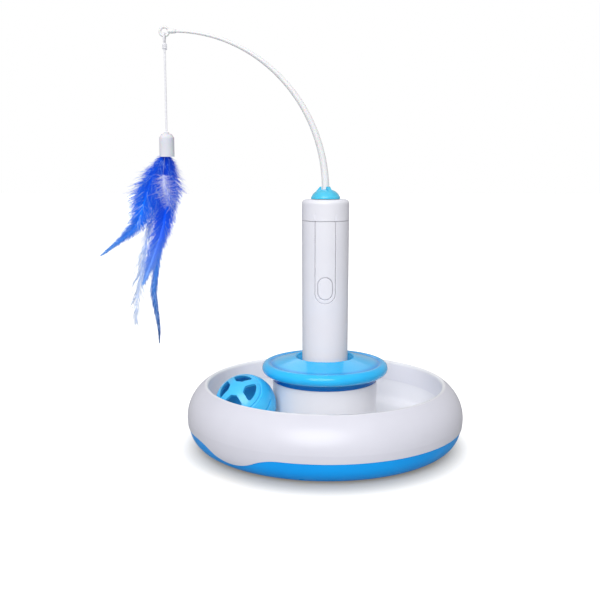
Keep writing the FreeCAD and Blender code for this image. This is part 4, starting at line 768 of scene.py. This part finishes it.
# %% [markdown]
# ## Lamps
# A broad sun from the front, a little to the left, and a weaker one from above act like big studio
# lamps. With the pale world they give a level at which a colour renders about as it is written. Two
# soft boxes behind the toy light little, but show as pale patches in the disc's gloss.

# %% Suns and soft boxes
DISC_MIDDLE = Vector((0, 0, 80 * MM))


def sun(name, strength, angle, rotation):
    """A far lamp. Its angle, in degrees, is how broad it looks, and so how soft its shadows are."""
    data = bpy.data.lights.new(name, "SUN")
    data.energy, data.angle = strength, math.radians(angle)
    lamp = bpy.data.objects.new(name, data)
    lamp.rotation_euler = [math.radians(value) for value in rotation]
    bpy.context.scene.collection.objects.link(lamp)


def softbox(name, power, place, width, height):
    """A soft box that faces the disc. It shows in gloss and not to the camera."""
    data = bpy.data.lights.new(name, "AREA")
    data.shape, data.size, data.size_y, data.energy = "RECTANGLE", width, height, power
    lamp = bpy.data.objects.new(name, data)
    lamp.location = place
    lamp.rotation_euler = (DISC_MIDDLE - Vector(place)).to_track_quat("-Z", "Y").to_euler()
    lamp.visible_camera = False
    bpy.context.scene.collection.objects.link(lamp)


sun("top_light", 0.45, 80, (12, 0, 0))
sun("front_light", 2.15, 45, (57, 0, -8))
softbox("left_softbox", 0.35, (-0.22, 1.25, 0.9), 0.22, 0.5)
softbox("right_softbox", 0.25, (0.22, 1.25, 0.9), 0.22, 0.5)
print("lamps:", ", ".join(one.name for one in bpy.data.lights))

# %% [markdown]
# ## World
# The world is white to the camera and through clear pieces, but lights the toy at a lower level. Gloss
# sees a share of that white, so that reflections stay gentle.

# %% Studio world
ROOM_LEVEL = 0.36
GLOSS_SHARE = 0.3

world = bpy.data.worlds.new("studio")
world.use_nodes = True
bpy.context.scene.world = world
backdrop = world.node_tree
backdrop.nodes.clear()
rays = add_node(backdrop, "ShaderNodeLightPath")
in_gloss = add_node(backdrop, "ShaderNodeMath", {"operation": "MULTIPLY"},
                    _0=rays.outputs["Is Glossy Ray"], _1=GLOSS_SHARE)
to_camera = add_node(backdrop, "ShaderNodeMath", {"operation": "MAXIMUM"},
                     _0=rays.outputs["Is Camera Ray"], _1=in_gloss.outputs[0])
seen = add_node(backdrop, "ShaderNodeMath", {"operation": "MAXIMUM"}, _0=to_camera.outputs[0],
                _1=rays.outputs["Is Transmission Ray"])
level = add_node(backdrop, "ShaderNodeMapRange", None, Value=seen.outputs[0], To_Min=ROOM_LEVEL,
                 To_Max=1.0)
glow = add_node(backdrop, "ShaderNodeBackground", None, Color=(1, 1, 1, 1),
                Strength=level.outputs["Result"])
add_node(backdrop, "ShaderNodeOutputWorld", None, Surface=glow.outputs["Background"])
print("world level on the toy:", ROOM_LEVEL)
